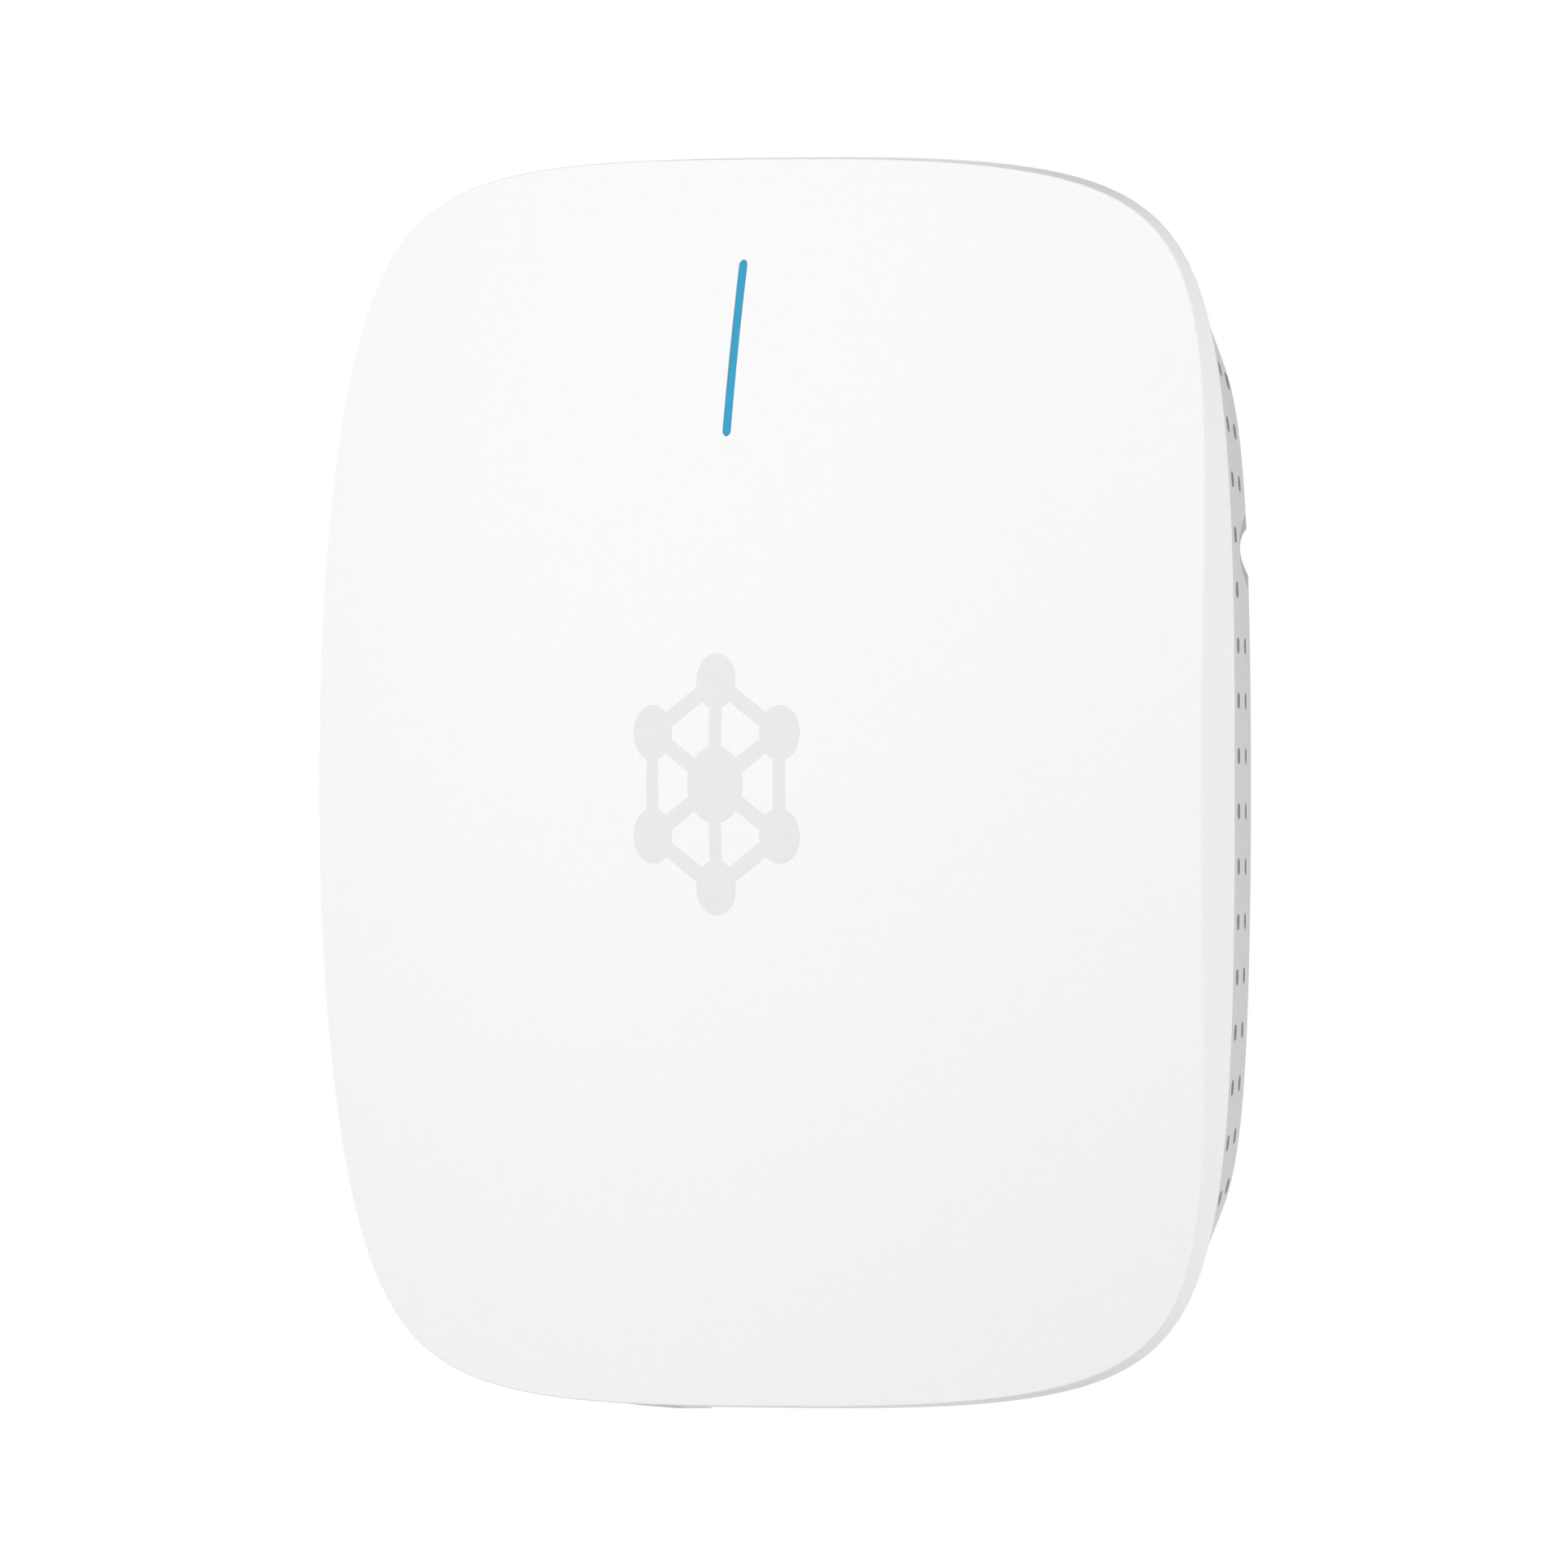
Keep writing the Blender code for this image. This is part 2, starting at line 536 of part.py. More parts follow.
def latch_rivet(number, material):
    front = LATCH_Y - LEAF - RIVET_SLACK
    profile = [(-0.1 * MM, 1.0 * MM), (front, 1.0 * MM), (front, 1.7 * MM), (front - 0.25 * MM, 1.6 * MM)]
    rivet = turned(profile, (RIVET_X[number - 1], RIVET_Z), "y", 16, "rivet")
    return finish(rivet, f"latch_rivet_{number}", material)


# ---------------------------------------------------------------- boards and what sits on them

def main_board(material):
    outline = rounded(-BOARD_HALF, -BOARD_HALF, BOARD_HALF, BOARD_HALF, BOARD_CORNER, 8)
    board = prism(outline, "y", BOARD_FRONT_Y, BOARD_BACK_Y, "main_board")
    for x, z in BOARD_SCREWS:
        hole = circle(x, z, 1.7 * MM, 12)
        cut(board, prism(hole, "y", BOARD_FRONT_Y - 1 * MM, BOARD_BACK_Y + 1 * MM))
    return finish(board, "main_board", material)


def shield_can(name, centre, size, material):
    """Stamped lid with folded walls, open towards the board."""
    x, z = centre
    half_x, half_z = size[0] / 2, size[1] / 2
    low, high, sheet = BOARD_BACK_Y + GAP, CAN_TOP_Y, 0.4 * MM
    outline = rounded(x - half_x, z - half_z, x + half_x, z + half_z, 1.5 * MM, 3)
    can = prism(outline, "y", low, high, name)
    cut(can, block((x - half_x + sheet, low - 1 * MM, z - half_z + sheet),
                   (x + half_x - sheet, high - sheet, z + half_z - sheet)))
    return finish(can, name, material)


def chip(name, centre, size, material):
    (x, z), (width, height) = centre, size
    body = block((x - width / 2, BOARD_BACK_Y + GAP, z - height / 2),
                 (x + width / 2, BOARD_BACK_Y + 1.7 * MM, z + height / 2), name)
    return finish(body, name, material)


def thermal_pad(name, centre, size, material):
    (x, z), (width, height) = centre, size
    pad = prism(rounded(x - width / 2, z - height / 2, x + width / 2, z + height / 2, 1 * MM, 2), "y",
                CAN_TOP_Y + GAP, PAD_TOP_Y, name)
    return finish(pad, name, material)


def heat_spreader(material):
    """Aluminium plate over the cans, with low fins towards the back."""
    outline = rounded(-52 * MM, -42 * MM, 2 * MM, 44 * MM, 5 * MM, 4)
    plate = prism(outline, "y", SPREADER_Y, SPREADER_Y + SPREADER_SHEET, "heat_spreader")
    for i in range(9):
        x = (-46 + 5.25 * i) * MM
        fuse(plate, block((x - 0.8 * MM, SPREADER_Y + 1 * MM, -28 * MM),
                          (x + 0.8 * MM, FIN_TOP_Y, 32 * MM)))
    return finish(plate, "heat_spreader", material)


def antenna(name, centre, length, height, along_x, material):
    """Stamped inverted-F: a strip held off the board by a feed leg and a ground leg."""
    x, z = centre
    foot, sheet, width = BOARD_FRONT_Y - GAP, 0.5 * MM, 6 * MM

    def bar(first, last, half, y0, y1):
        """Block from first to last along the antenna, and half to each side of its middle line."""
        if along_x:
            return block((x + first, y0, z - half), (x + last, y1, z + half))
        return block((x - half, y0, z + first), (x + half, y1, z + last))

    end, top = -length / 2, foot - height
    strip = bar(end, -end, width / 2, top, top + sheet)
    fuse(strip, bar(end, end + sheet, width / 2, top + sheet / 2, foot))
    fuse(strip, bar(end + 5 * MM, end + 5 * MM + sheet, 1.2 * MM, top + sheet / 2, foot))
    return finish(strip, name, material)


def ethernet_jack(material):
    """Shielded socket, open towards the cable bay, with its latch groove."""
    front, half = BAY_LEFT + SOCKET_PROUD, JACK_WIDTH / 2
    jack = block((front - JACK_LENGTH, JACK_LOW_Y, JACK_Z - half),
                 (front, JACK_HIGH_Y, JACK_Z + half), "ethernet_jack")
    mouth, groove = 5.95 * MM, 3.2 * MM      # half widths
    cut(jack, block((front - 13 * MM, -16.2 * MM, JACK_Z - mouth),
                    (front + 1 * MM, -9.0 * MM, JACK_Z + mouth)))
    cut(jack, block((front - 9 * MM, -9.2 * MM, JACK_Z - groove),
                    (front + 1 * MM, -7.2 * MM, JACK_Z + groove)))
    return finish(jack, "ethernet_jack", material)


def dc_jack(material):
    """Power inlet: a round well with a centre pin."""
    front, half, middle = BAY_LEFT + SOCKET_PROUD, DC_WIDTH / 2, -13.0 * MM
    jack = block((front - DC_LENGTH, DC_LOW_Y, DC_Z - half), (front, DC_HIGH_Y, DC_Z + half), "dc_jack")
    cut(jack, prism(circle(middle, DC_Z, 3.1 * MM, 24), "x", front - 9 * MM, front + 1 * MM))
    pin = [(front - 9.5 * MM, 1.0 * MM), (front - 1.4 * MM, 1.0 * MM), (front - 1.0 * MM, 0.6 * MM)]
    fuse(jack, turned(pin, (middle, DC_Z), "x", 12, "pin"))
    return finish(jack, "dc_jack", material)


def reset_switch(material):
    front = BAY_LEFT - BAY_WALL - 1.0 * MM
    body = block((front - 4 * MM, BOARD_BACK_Y + GAP, RESET_Z - 3.5 * MM),
                 (front, RESET_Y + 3.2 * MM, RESET_Z + 3.5 * MM), "reset_switch")
    hole = circle(RESET_Y, RESET_Z, RESET_RADIUS + GAP, 16)
    cut(body, prism(hole, "x", front - 2.2 * MM, front + 1 * MM))
    return finish(body, "reset_switch", material)


def reset_button(material):
    """Plunger of the switch, recessed in its hole in the bay's wall; it slides along X."""
    switch_face = BAY_LEFT - BAY_WALL - 1.0 * MM
    back, front = switch_face - 2.2 * MM + GAP + RESET_TRAVEL, BAY_LEFT - 0.4 * MM
    profile = [(back, RESET_RADIUS), (front - 0.3 * MM, RESET_RADIUS),
               (front, RESET_RADIUS - 0.3 * MM)]
    plunger = turned(profile, (RESET_Y, RESET_Z), "x", 20, "reset_button")
    move_origin(plunger, (back, RESET_Y, RESET_Z))
    return finish(plunger, "reset_button", material)


def board_part(name, low, high, material, radius=0.8 * MM):
    """Box-shaped part on the back of the board: (x, z) corners and a height."""
    (x0, z0), (x1, z1, height) = low, high
    base = BOARD_BACK_Y + GAP
    body = prism(rounded(x0, z0, x1, z1, radius, 3), "y", base, base + height, name)
    return finish(body, name, material)


def can_capacitor(name, centre, radius, height, material):
    base = BOARD_BACK_Y + GAP
    profile = [(base, radius), (base + height - 0.5 * MM, radius), (base + height, radius - 0.5 * MM)]
    return finish(turned(profile, centre, "y", 20, name), name, material)


# ---------------------------------------------------------------- status light

def light_post_levels():
    """Heights of the two posts under the light's own board."""
    return [LIGHT_Z + end * (LIGHT_LENGTH / 2 + 5 * MM) for end in (-1, 1)]


def light_pipe(material):
    pipe = light_bar(LIGHT_WIDTH, LIGHT_LENGTH, dome_y(0, 0) - 5 * MM, LIGHT_INNER_Y)
    dome_slab(pipe, -0.05 * MM)
    return finish(pipe, "light_pipe", material)


def light_shield(material):
    """Opaque frame that keeps the light in the pipe."""
    top = dome_y(0, light_post_levels()[1]) + COVER_WALL + GAP
    shield = light_bar(8 * MM, LIGHT_LENGTH + 3.5 * MM, top, LED_BOARD_Y - GAP)
    cut(shield, light_bar(LIGHT_WIDTH + 2 * GAP, LIGHT_LENGTH + 2 * GAP, top - 1 * MM,
                      LIGHT_INNER_Y + 0.5 * MM))
    cut(shield, light_bar(5 * MM, LIGHT_LENGTH, LIGHT_INNER_Y + GAP, LED_BOARD_Y + 1 * MM))
    return finish(shield, "light_shield", material)


def led_board(material):
    board = light_bar(9 * MM, LIGHT_LENGTH + 16 * MM, LED_BOARD_Y, LED_BOARD_Y + LED_BOARD_THICKNESS)
    return finish(board, "led_board", material)


def status_led(number, material):
    z = LIGHT_Z + (number - 2) * 8.5 * MM
    led = block((-1.4 * MM, LED_BOARD_Y - 1.2 * MM, z - 1.6 * MM),
                (1.4 * MM, LED_BOARD_Y - GAP, z + 1.6 * MM))
    return finish(led, f"status_led_{number}", material)


def led_flex(material):
    """Flat cable from the light's board down to the main board."""
    high, low = LED_BOARD_Y + LED_BOARD_THICKNESS + GAP, BOARD_FRONT_Y - GAP
    sheet = 0.35 * MM
    path = [(high, 60 * MM), (high, 52 * MM), (low - sheet, 47 * MM), (low - sheet, 40 * MM)]
    outer = [(y + sheet, z) for y, z in reversed(path)]
    return finish(prism(path + outer, "x", -8 * MM, -1 * MM), "led_flex", material)


# ---------------------------------------------------------------- fasteners and label

def screw(name, centre, head_y, head, shank_radius, length, direction, recess, material):
    """Pan-head screw; head is (height, radius), direction is +1 where the shank points to +Y, and recess
    cuts a cross in its head."""
    head_height, head_radius = head
    crown = head_y - direction * head_height
    profile = [(crown, head_radius * 0.72), (crown + direction * head_height * 0.45, head_radius),
               (head_y, head_radius), (head_y, shank_radius),
               (head_y + direction * (length - 1 * MM), shank_radius),
               (head_y + direction * length, shank_radius * 0.5)]
    body = turned(profile, centre, "y", 14, name)
    if not recess:
        return finish(body, name, material)
    x, z = centre
    deep = crown + direction * head_height * 0.55
    low, high = sorted((crown - direction * 1 * MM, deep))
    arm, half = head_radius * 0.55, 0.28 * MM
    cross = block((x - arm, low, z - half), (x + arm, high, z + half))
    fuse(cross, block((x - half, low, z - arm), (x + half, high, z + arm)))
    cut(body, cross)
    return finish(body, name, material)


def rating_label(material):
    outline = rounded(LABEL_LEFT, -LABEL_HALF, LABEL_RIGHT, LABEL_HALF, 1.7 * MM, 3)
    label = prism(outline, "y", REAR_Y - 0.2 * MM, REAR_Y + 0.05 * MM, "rating_label")
    return finish(label, "rating_label", material)


# ---------------------------------------------------------------- build

def main():
    for obj in list(bpy.data.objects):
        bpy.data.objects.remove(obj, do_unlink=True)

    cover_white = make_material("cover_white", COVER_WHITE, 0.5)
    housing_white = make_material("housing_white", WHITE, 0.55)
    blue = make_material("light_blue", (0.06, 0.38, 0.63), 0.3)
    black = make_material("black_plastic", (0.02, 0.02, 0.02), 0.5)
    board_green = make_material("board_green", (0.02, 0.13, 0.06), 0.45)
    tin = make_material("tinned_steel", (0.62, 0.62, 0.6), 0.3, 1.0)
    steel = make_material("zinc_plated_steel", (0.55, 0.56, 0.57), 0.35, 1.0)
    spring = make_material("spring_steel", (0.45, 0.45, 0.46), 0.3, 1.0)
    aluminium = make_material("aluminium", (0.75, 0.75, 0.76), 0.4, 1.0)
    chip_black = make_material("chip_black", (0.015, 0.015, 0.017), 0.55)
    pad_grey = make_material("pad_grey", (0.3, 0.33, 0.38), 0.9)
    brass = make_material("antenna_brass", (0.72, 0.55, 0.3), 0.35, 1.0)
    led_yellow = make_material("led_package", (0.85, 0.8, 0.55), 0.4)
    flex_amber = make_material("flex_amber", (0.45, 0.2, 0.03), 0.4)
    ferrite = make_material("ferrite", (0.06, 0.06, 0.065), 0.7)
    label_film = make_material("label_film", (0.8, 0.8, 0.8), 0.4)

    front_cover(cover_white)
    rear_housing(housing_white)
    wall_bracket(steel)
    latch_spring(spring)
    for number in (1, 2):
        latch_rivet(number, steel)

    light_pipe(blue)
    light_shield(black)
    led_board(board_green)
    for number in (1, 2, 3):
        status_led(number, led_yellow)
    led_flex(flex_amber)

    main_board(board_green)
    heat_spreader(aluminium)
    for name, centre, can_size, chip_size in CHIP_SETS:
        shield_can(f"{name}_shield", centre, can_size, tin)
        chip(f"{name}_chip", centre, chip_size, chip_black)
        thermal_pad(f"{name}_pad", centre, chip_size, pad_grey)
    chip("memory_chip", (-6 * MM, 8 * MM), (8 * MM, 13 * MM), chip_black)
    antenna("antenna_2g_left", (-48 * MM, 12 * MM), 26 * MM, 8 * MM, False, brass)
    antenna("antenna_2g_right", (48 * MM, 12 * MM), 26 * MM, 8 * MM, False, brass)
    antenna("antenna_5g_left", (-20 * MM, -50 * MM), 14 * MM, 6 * MM, True, brass)
    antenna("antenna_5g_right", (20 * MM, -50 * MM), 14 * MM, 6 * MM, True, brass)
    antenna("antenna_bluetooth", (26 * MM, 50 * MM), 10 * MM, 4 * MM, True, brass)

    ethernet_jack(tin)
    dc_jack(black)
    reset_switch(black)
    reset_button(black)
    board_part("ethernet_transformer", (8 * MM, -14 * MM), (22 * MM, 0, 5.6 * MM), chip_black)
    board_part("power_inductor", (8 * MM, -30 * MM), (18 * MM, -20 * MM, 5 * MM), ferrite)
    can_capacitor("capacitor_1", (28 * MM, -14 * MM), 4 * MM, 8 * MM, aluminium)
    can_capacitor("capacitor_2", (28 * MM, -25 * MM), 4 * MM, 8 * MM, aluminium)

    for number, centre in enumerate(case_screw_places(), 1):
        screw(f"case_screw_{number}", centre, REAR_Y - 2.9 * MM, (2.2 * MM, 3.2 * MM), 1.35 * MM,
              23.5 * MM, -1, True, steel)
    for number, centre in enumerate(BOARD_SCREWS, 1):
        screw(f"board_screw_{number}", centre, BOARD_FRONT_Y - GAP, (1.7 * MM, 2.8 * MM), 1.25 * MM,
              8 * MM, 1, False, steel)
    rating_label(label_film)

    on_the_wall = ("wall_bracket", "latch_spring", "latch_rivet_1", "latch_rivet_2")
    body = bpy.data.objects.new("access_point", None)
    bpy.context.collection.objects.link(body)
    for obj in bpy.data.objects:
        if obj.type == "MESH" and obj.name not in on_the_wall:
            obj.parent = body


main()
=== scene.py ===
"""Looks of the wall access point: fine shells, fittings, materials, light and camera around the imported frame."""

import json
from math import atan, atan2, cos, pi, radians, sin, sqrt

import bmesh
import bpy
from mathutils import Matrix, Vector


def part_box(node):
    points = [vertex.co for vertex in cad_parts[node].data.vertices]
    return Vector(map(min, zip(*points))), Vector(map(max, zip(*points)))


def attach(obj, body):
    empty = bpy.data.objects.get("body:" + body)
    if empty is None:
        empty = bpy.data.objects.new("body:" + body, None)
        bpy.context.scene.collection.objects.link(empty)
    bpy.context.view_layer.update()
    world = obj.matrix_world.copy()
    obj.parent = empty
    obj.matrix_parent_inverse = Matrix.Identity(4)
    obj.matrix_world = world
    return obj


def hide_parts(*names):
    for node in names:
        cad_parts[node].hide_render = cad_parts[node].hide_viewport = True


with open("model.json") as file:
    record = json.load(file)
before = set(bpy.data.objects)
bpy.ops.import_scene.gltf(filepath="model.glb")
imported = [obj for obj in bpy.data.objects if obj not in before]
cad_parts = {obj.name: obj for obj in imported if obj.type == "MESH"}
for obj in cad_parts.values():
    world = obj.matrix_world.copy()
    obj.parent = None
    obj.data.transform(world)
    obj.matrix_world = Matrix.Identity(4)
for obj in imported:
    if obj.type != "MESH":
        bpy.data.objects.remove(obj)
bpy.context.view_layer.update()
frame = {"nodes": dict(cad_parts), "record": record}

MM = 0.001
cover_low, cover_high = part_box("front_cover")
jack_low, jack_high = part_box("ethernet_jack")
dc_low, dc_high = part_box("dc_jack")
button_low, button_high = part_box("reset_button")
label_low, label_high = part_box("rating_label")
light_low, light_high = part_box("light_pipe")

# Body outline: a squircle |x|^p + |z|^p - s |x|^p |z|^p = 1, and a squarer one at the rear plane
BAND_FLARE = 0.25 * MM             # how far the band's rear edge stands out past its front edge
CAD_GAP = 0.3 * MM                 # clearance the CAD keeps between touching pieces
SEAM = 0.05 * MM                   # hairline that the finished pieces keep instead
BODY_HALF = cover_high.x - BAND_FLARE
BODY_POWER, BODY_SQUARENESS = 2.9, 0.73
REAR_HALF = BODY_HALF - 17.35 * MM
REAR_DROP = 0.35 * MM              # the rear outline's centre lies this far below the body's
REAR_POWER, REAR_SQUARENESS = 2.0, 0.925
STEPS = 240                        # round the body

PARTING_Y = cover_high.y + CAD_GAP / 2
REAR_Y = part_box("rear_housing")[1].y
HOUSING_DEPTH = REAR_Y - PARTING_Y
DOME_RADIUS = 443.0 * MM
BAND_HEIGHT = PARTING_Y - cover_low.y - BODY_HALF ** 2 / (2 * DOME_RADIUS)   # at the middle of a side
COVER_WALL = 2.1 * MM
HOUSING_INSET = 0.4 * MM           # step in from the cover's band to the housing's wall
HOUSING_WALL = 2.9 * MM
BACK_WALL = 2.5 * MM

LIGHT_Z = (light_low.z + light_high.z) / 2
LIGHT_LENGTH, LIGHT_WIDTH = 25.4 * MM, 1.6 * MM
LIGHT_INNER_Y = light_high.y

# Radii of screw bosses and of the holes in them
BOARD_BOSS, BOARD_HOLE = 3.1 * MM, 1.6 * MM
CASE_BOSS, CASE_HOLE = 4.6 * MM, 1.8 * MM
COVER_BOSS, COVER_HOLE = 4.2 * MM, 1.6 * MM
HEAD_RECESS, HEAD_DEPTH = 3.7 * MM, 3.2 * MM       # radius and depth of the recess for a case screw's head
POST_RADIUS, POST_REACH = 1.8 * MM, 17.7 * MM      # the light board's posts, and their distance from its middle


# ---------------------------------------------------------------- body formulas

def squircle(angle, power, squareness):
    c, s = abs(cos(angle)) ** power, abs(sin(angle)) ** power
    product, total = squareness * c * s, c + s
    if product < 1e-9:
        return (1 / total) ** (1 / power)
    return ((total - sqrt(total * total - 4 * product)) / (2 * product)) ** (1 / power)


def body_point(angle, scale=1.0):
    r = BODY_HALF * scale * squircle(angle, BODY_POWER, BODY_SQUARENESS)
    return Vector((r * cos(angle), r * sin(angle)))


def dome_y(x, z):
    return PARTING_Y - BAND_HEIGHT + (x * x + z * z - BODY_HALF ** 2) / (2 * DOME_RADIUS)


def wall_point(angle, fraction, inset=0.0):
    """Point of the sloping wall: fraction 0 at the parting line, 1 at the rear plane."""
    front = body_point(angle, 1 - HOUSING_INSET / BODY_HALF)
    r = REAR_HALF * squircle(angle, REAR_POWER, REAR_SQUARENESS)
    point = front.lerp(Vector((r * cos(angle), r * sin(angle) - REAR_DROP)), fraction)
    return point - wall_normal(angle, fraction) * inset if inset else point


def wall_normal(angle, fraction):
    along = wall_point(angle + 0.002, fraction) - wall_point(angle - 0.002, fraction)
    return Vector((along.y, -along.x)).normalized()


def wall_depth(fraction):
    return PARTING_Y + fraction * HOUSING_DEPTH


def angles(steps=STEPS):
    return [2 * pi * (i + 0.5) / steps for i in range(steps)]


# ---------------------------------------------------------------- mesh helpers

def to_object(name, bm):
    bmesh.ops.recalc_face_normals(bm, faces=bm.faces)
    mesh = bpy.data.meshes.new(name)
    bm.to_mesh(mesh)
    bm.free()
    obj = bpy.data.objects.new(name, mesh)
    bpy.context.collection.objects.link(obj)
    return obj


def add_skin(bm, rings, start=None, end=None):
    rows = [[bm.verts.new(point) for point in ring] for ring in rings]
    count = len(rings[0])
    for row, following in zip(rows, rows[1:]):
        for i in range(count):
            j = (i + 1) % count
            bm.faces.new((row[i], row[j], following[j], following[i]))
    for tip, row in ((start, rows[0]), (end, rows[-1])):
        if tip is None:
            bm.faces.new(row)
            continue
        centre = bm.verts.new(tip)
        for i in range(count):
            bm.faces.new((centre, row[i], row[(i + 1) % count]))


def skin(rings, name="skin", start=None, end=None):
    bm = bmesh.new()
    add_skin(bm, rings, start, end)
    return to_object(name, bm)


def place(axis, a, b, height):
    return {"x": (height, a, b), "y": (a, height, b), "z": (a, b, height)}[axis]


def layered(outline, axis, levels):
    """Solid of one outline at several heights. outline(grow) gives its points; levels are (height, grow)."""
    return skin([[place(axis, a, b, height) for a, b in outline(grow)] for height, grow in levels])


def round_rect(low_a, low_b, high_a, high_b, radius, steps=6):
    """Outline function of a rectangle with round corners; grow moves every side out."""
    def outline(grow=0.0):
        r = max(radius + grow, 0.01 * MM)
        corners = ((high_a + grow - r, high_b + grow - r, 0), (low_a - grow + r, high_b + grow - r, 1),
                   (low_a - grow + r, low_b - grow + r, 2), (high_a + grow - r, low_b - grow + r, 3))
        return [(a + r * cos(pi / 2 * (k + i / steps)), b + r * sin(pi / 2 * (k + i / steps)))
                for a, b, k in corners for i in range(steps + 1)]
    return outline


def disc(centre_a, centre_b, radius, steps=40):
    def outline(grow=0.0):
        r = radius + grow
        return [(centre_a + r * cos(2 * pi * i / steps), centre_b + r * sin(2 * pi * i / steps))
                for i in range(steps)]
    return outline


def plate(outline, axis, low, high):
    return layered(outline, axis, [(low, 0), (high, 0)])


def mouth(outline, axis, floor, surface, chamfer):
    """Cutter that sinks from a surface to a floor and opens with a chamfer at the surface."""
    out = 1 if surface > floor else -1
    extra = 0.6 * MM
    return layered(outline, axis, [(floor, 0), (surface - out * chamfer, 0), (surface + out * extra, chamfer + extra)])


def block(low, high):
    (x0, y0, z0), (x1, y1, z1) = low, high
    return skin([[(x0, y, z0), (x1, y, z0), (x1, y, z1), (x0, y, z1)] for y in (y0, y1)])


def combine(target, operation, *tools):
    for tool in tools:
        modifier = target.modifiers.new("Boolean", "BOOLEAN")
        modifier.operation = operation
        modifier.solver = "EXACT"
        modifier.object = tool
        apply_modifiers(target)
        bpy.data.objects.remove(tool)
    return target


def apply_modifiers(obj):
    bpy.context.view_layer.update()
    graph = bpy.context.evaluated_depsgraph_get()
    result = bpy.data.meshes.new_from_object(obj.evaluated_get(graph))
    obj.modifiers.clear()
    obj.data = result
    return obj


def cut(target, *tools):
    return combine(target, "DIFFERENCE", *tools)


def fuse(target, *tools):
    return combine(target, "UNION", *tools)


def piece(obj, name, material, body, slot, replaces=(), smooth_angle=32.0):
    """Name a finished mesh, give it its material, and tie it to its body and the nodes it stands for. Its slot
    argument is not used.
    """
    obj.data.materials.clear()
    obj.data.materials.append(material)
    obj.data.shade_smooth()
    obj.data.set_sharp_from_angle(angle=radians(smooth_angle))
    normals = obj.modifiers.new("Normals", "WEIGHTED_NORMAL")
    normals.keep_sharp = True
    normals.weight = 90
    apply_modifiers(obj)
    obj.name = name
    obj.data.name = name
    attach(obj, body)
    if replaces:
        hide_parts(*replaces)
    return obj


def softened_copy(node, width):
    """A node's own shape with its facets merged and its edges rounded."""
    bm = bmesh.new()
    bm.from_mesh(frame["nodes"][node].data)
    bmesh.ops.remove_doubles(bm, verts=bm.verts, dist=0.002 * MM)
    bmesh.ops.dissolve_limit(bm, angle_limit=radians(0.5), verts=bm.verts, edges=bm.edges)
    obj = to_object(node, bm)
    modifier = obj.modifiers.new("Bevel", "BEVEL")
    modifier.width = width
    modifier.segments = 2
    modifier.limit_method = "ANGLE"
    modifier.angle_limit = radians(38)
    modifier.miter_outer = "MITER_ARC"
    return apply_modifiers(obj)


def bezier(a, b, c, steps):
    return [a * (1 - t) ** 2 + b * 2 * t * (1 - t) + c * t * t for t in (i / steps for i in range(steps + 1))]


# ---------------------------------------------------------------- node materials

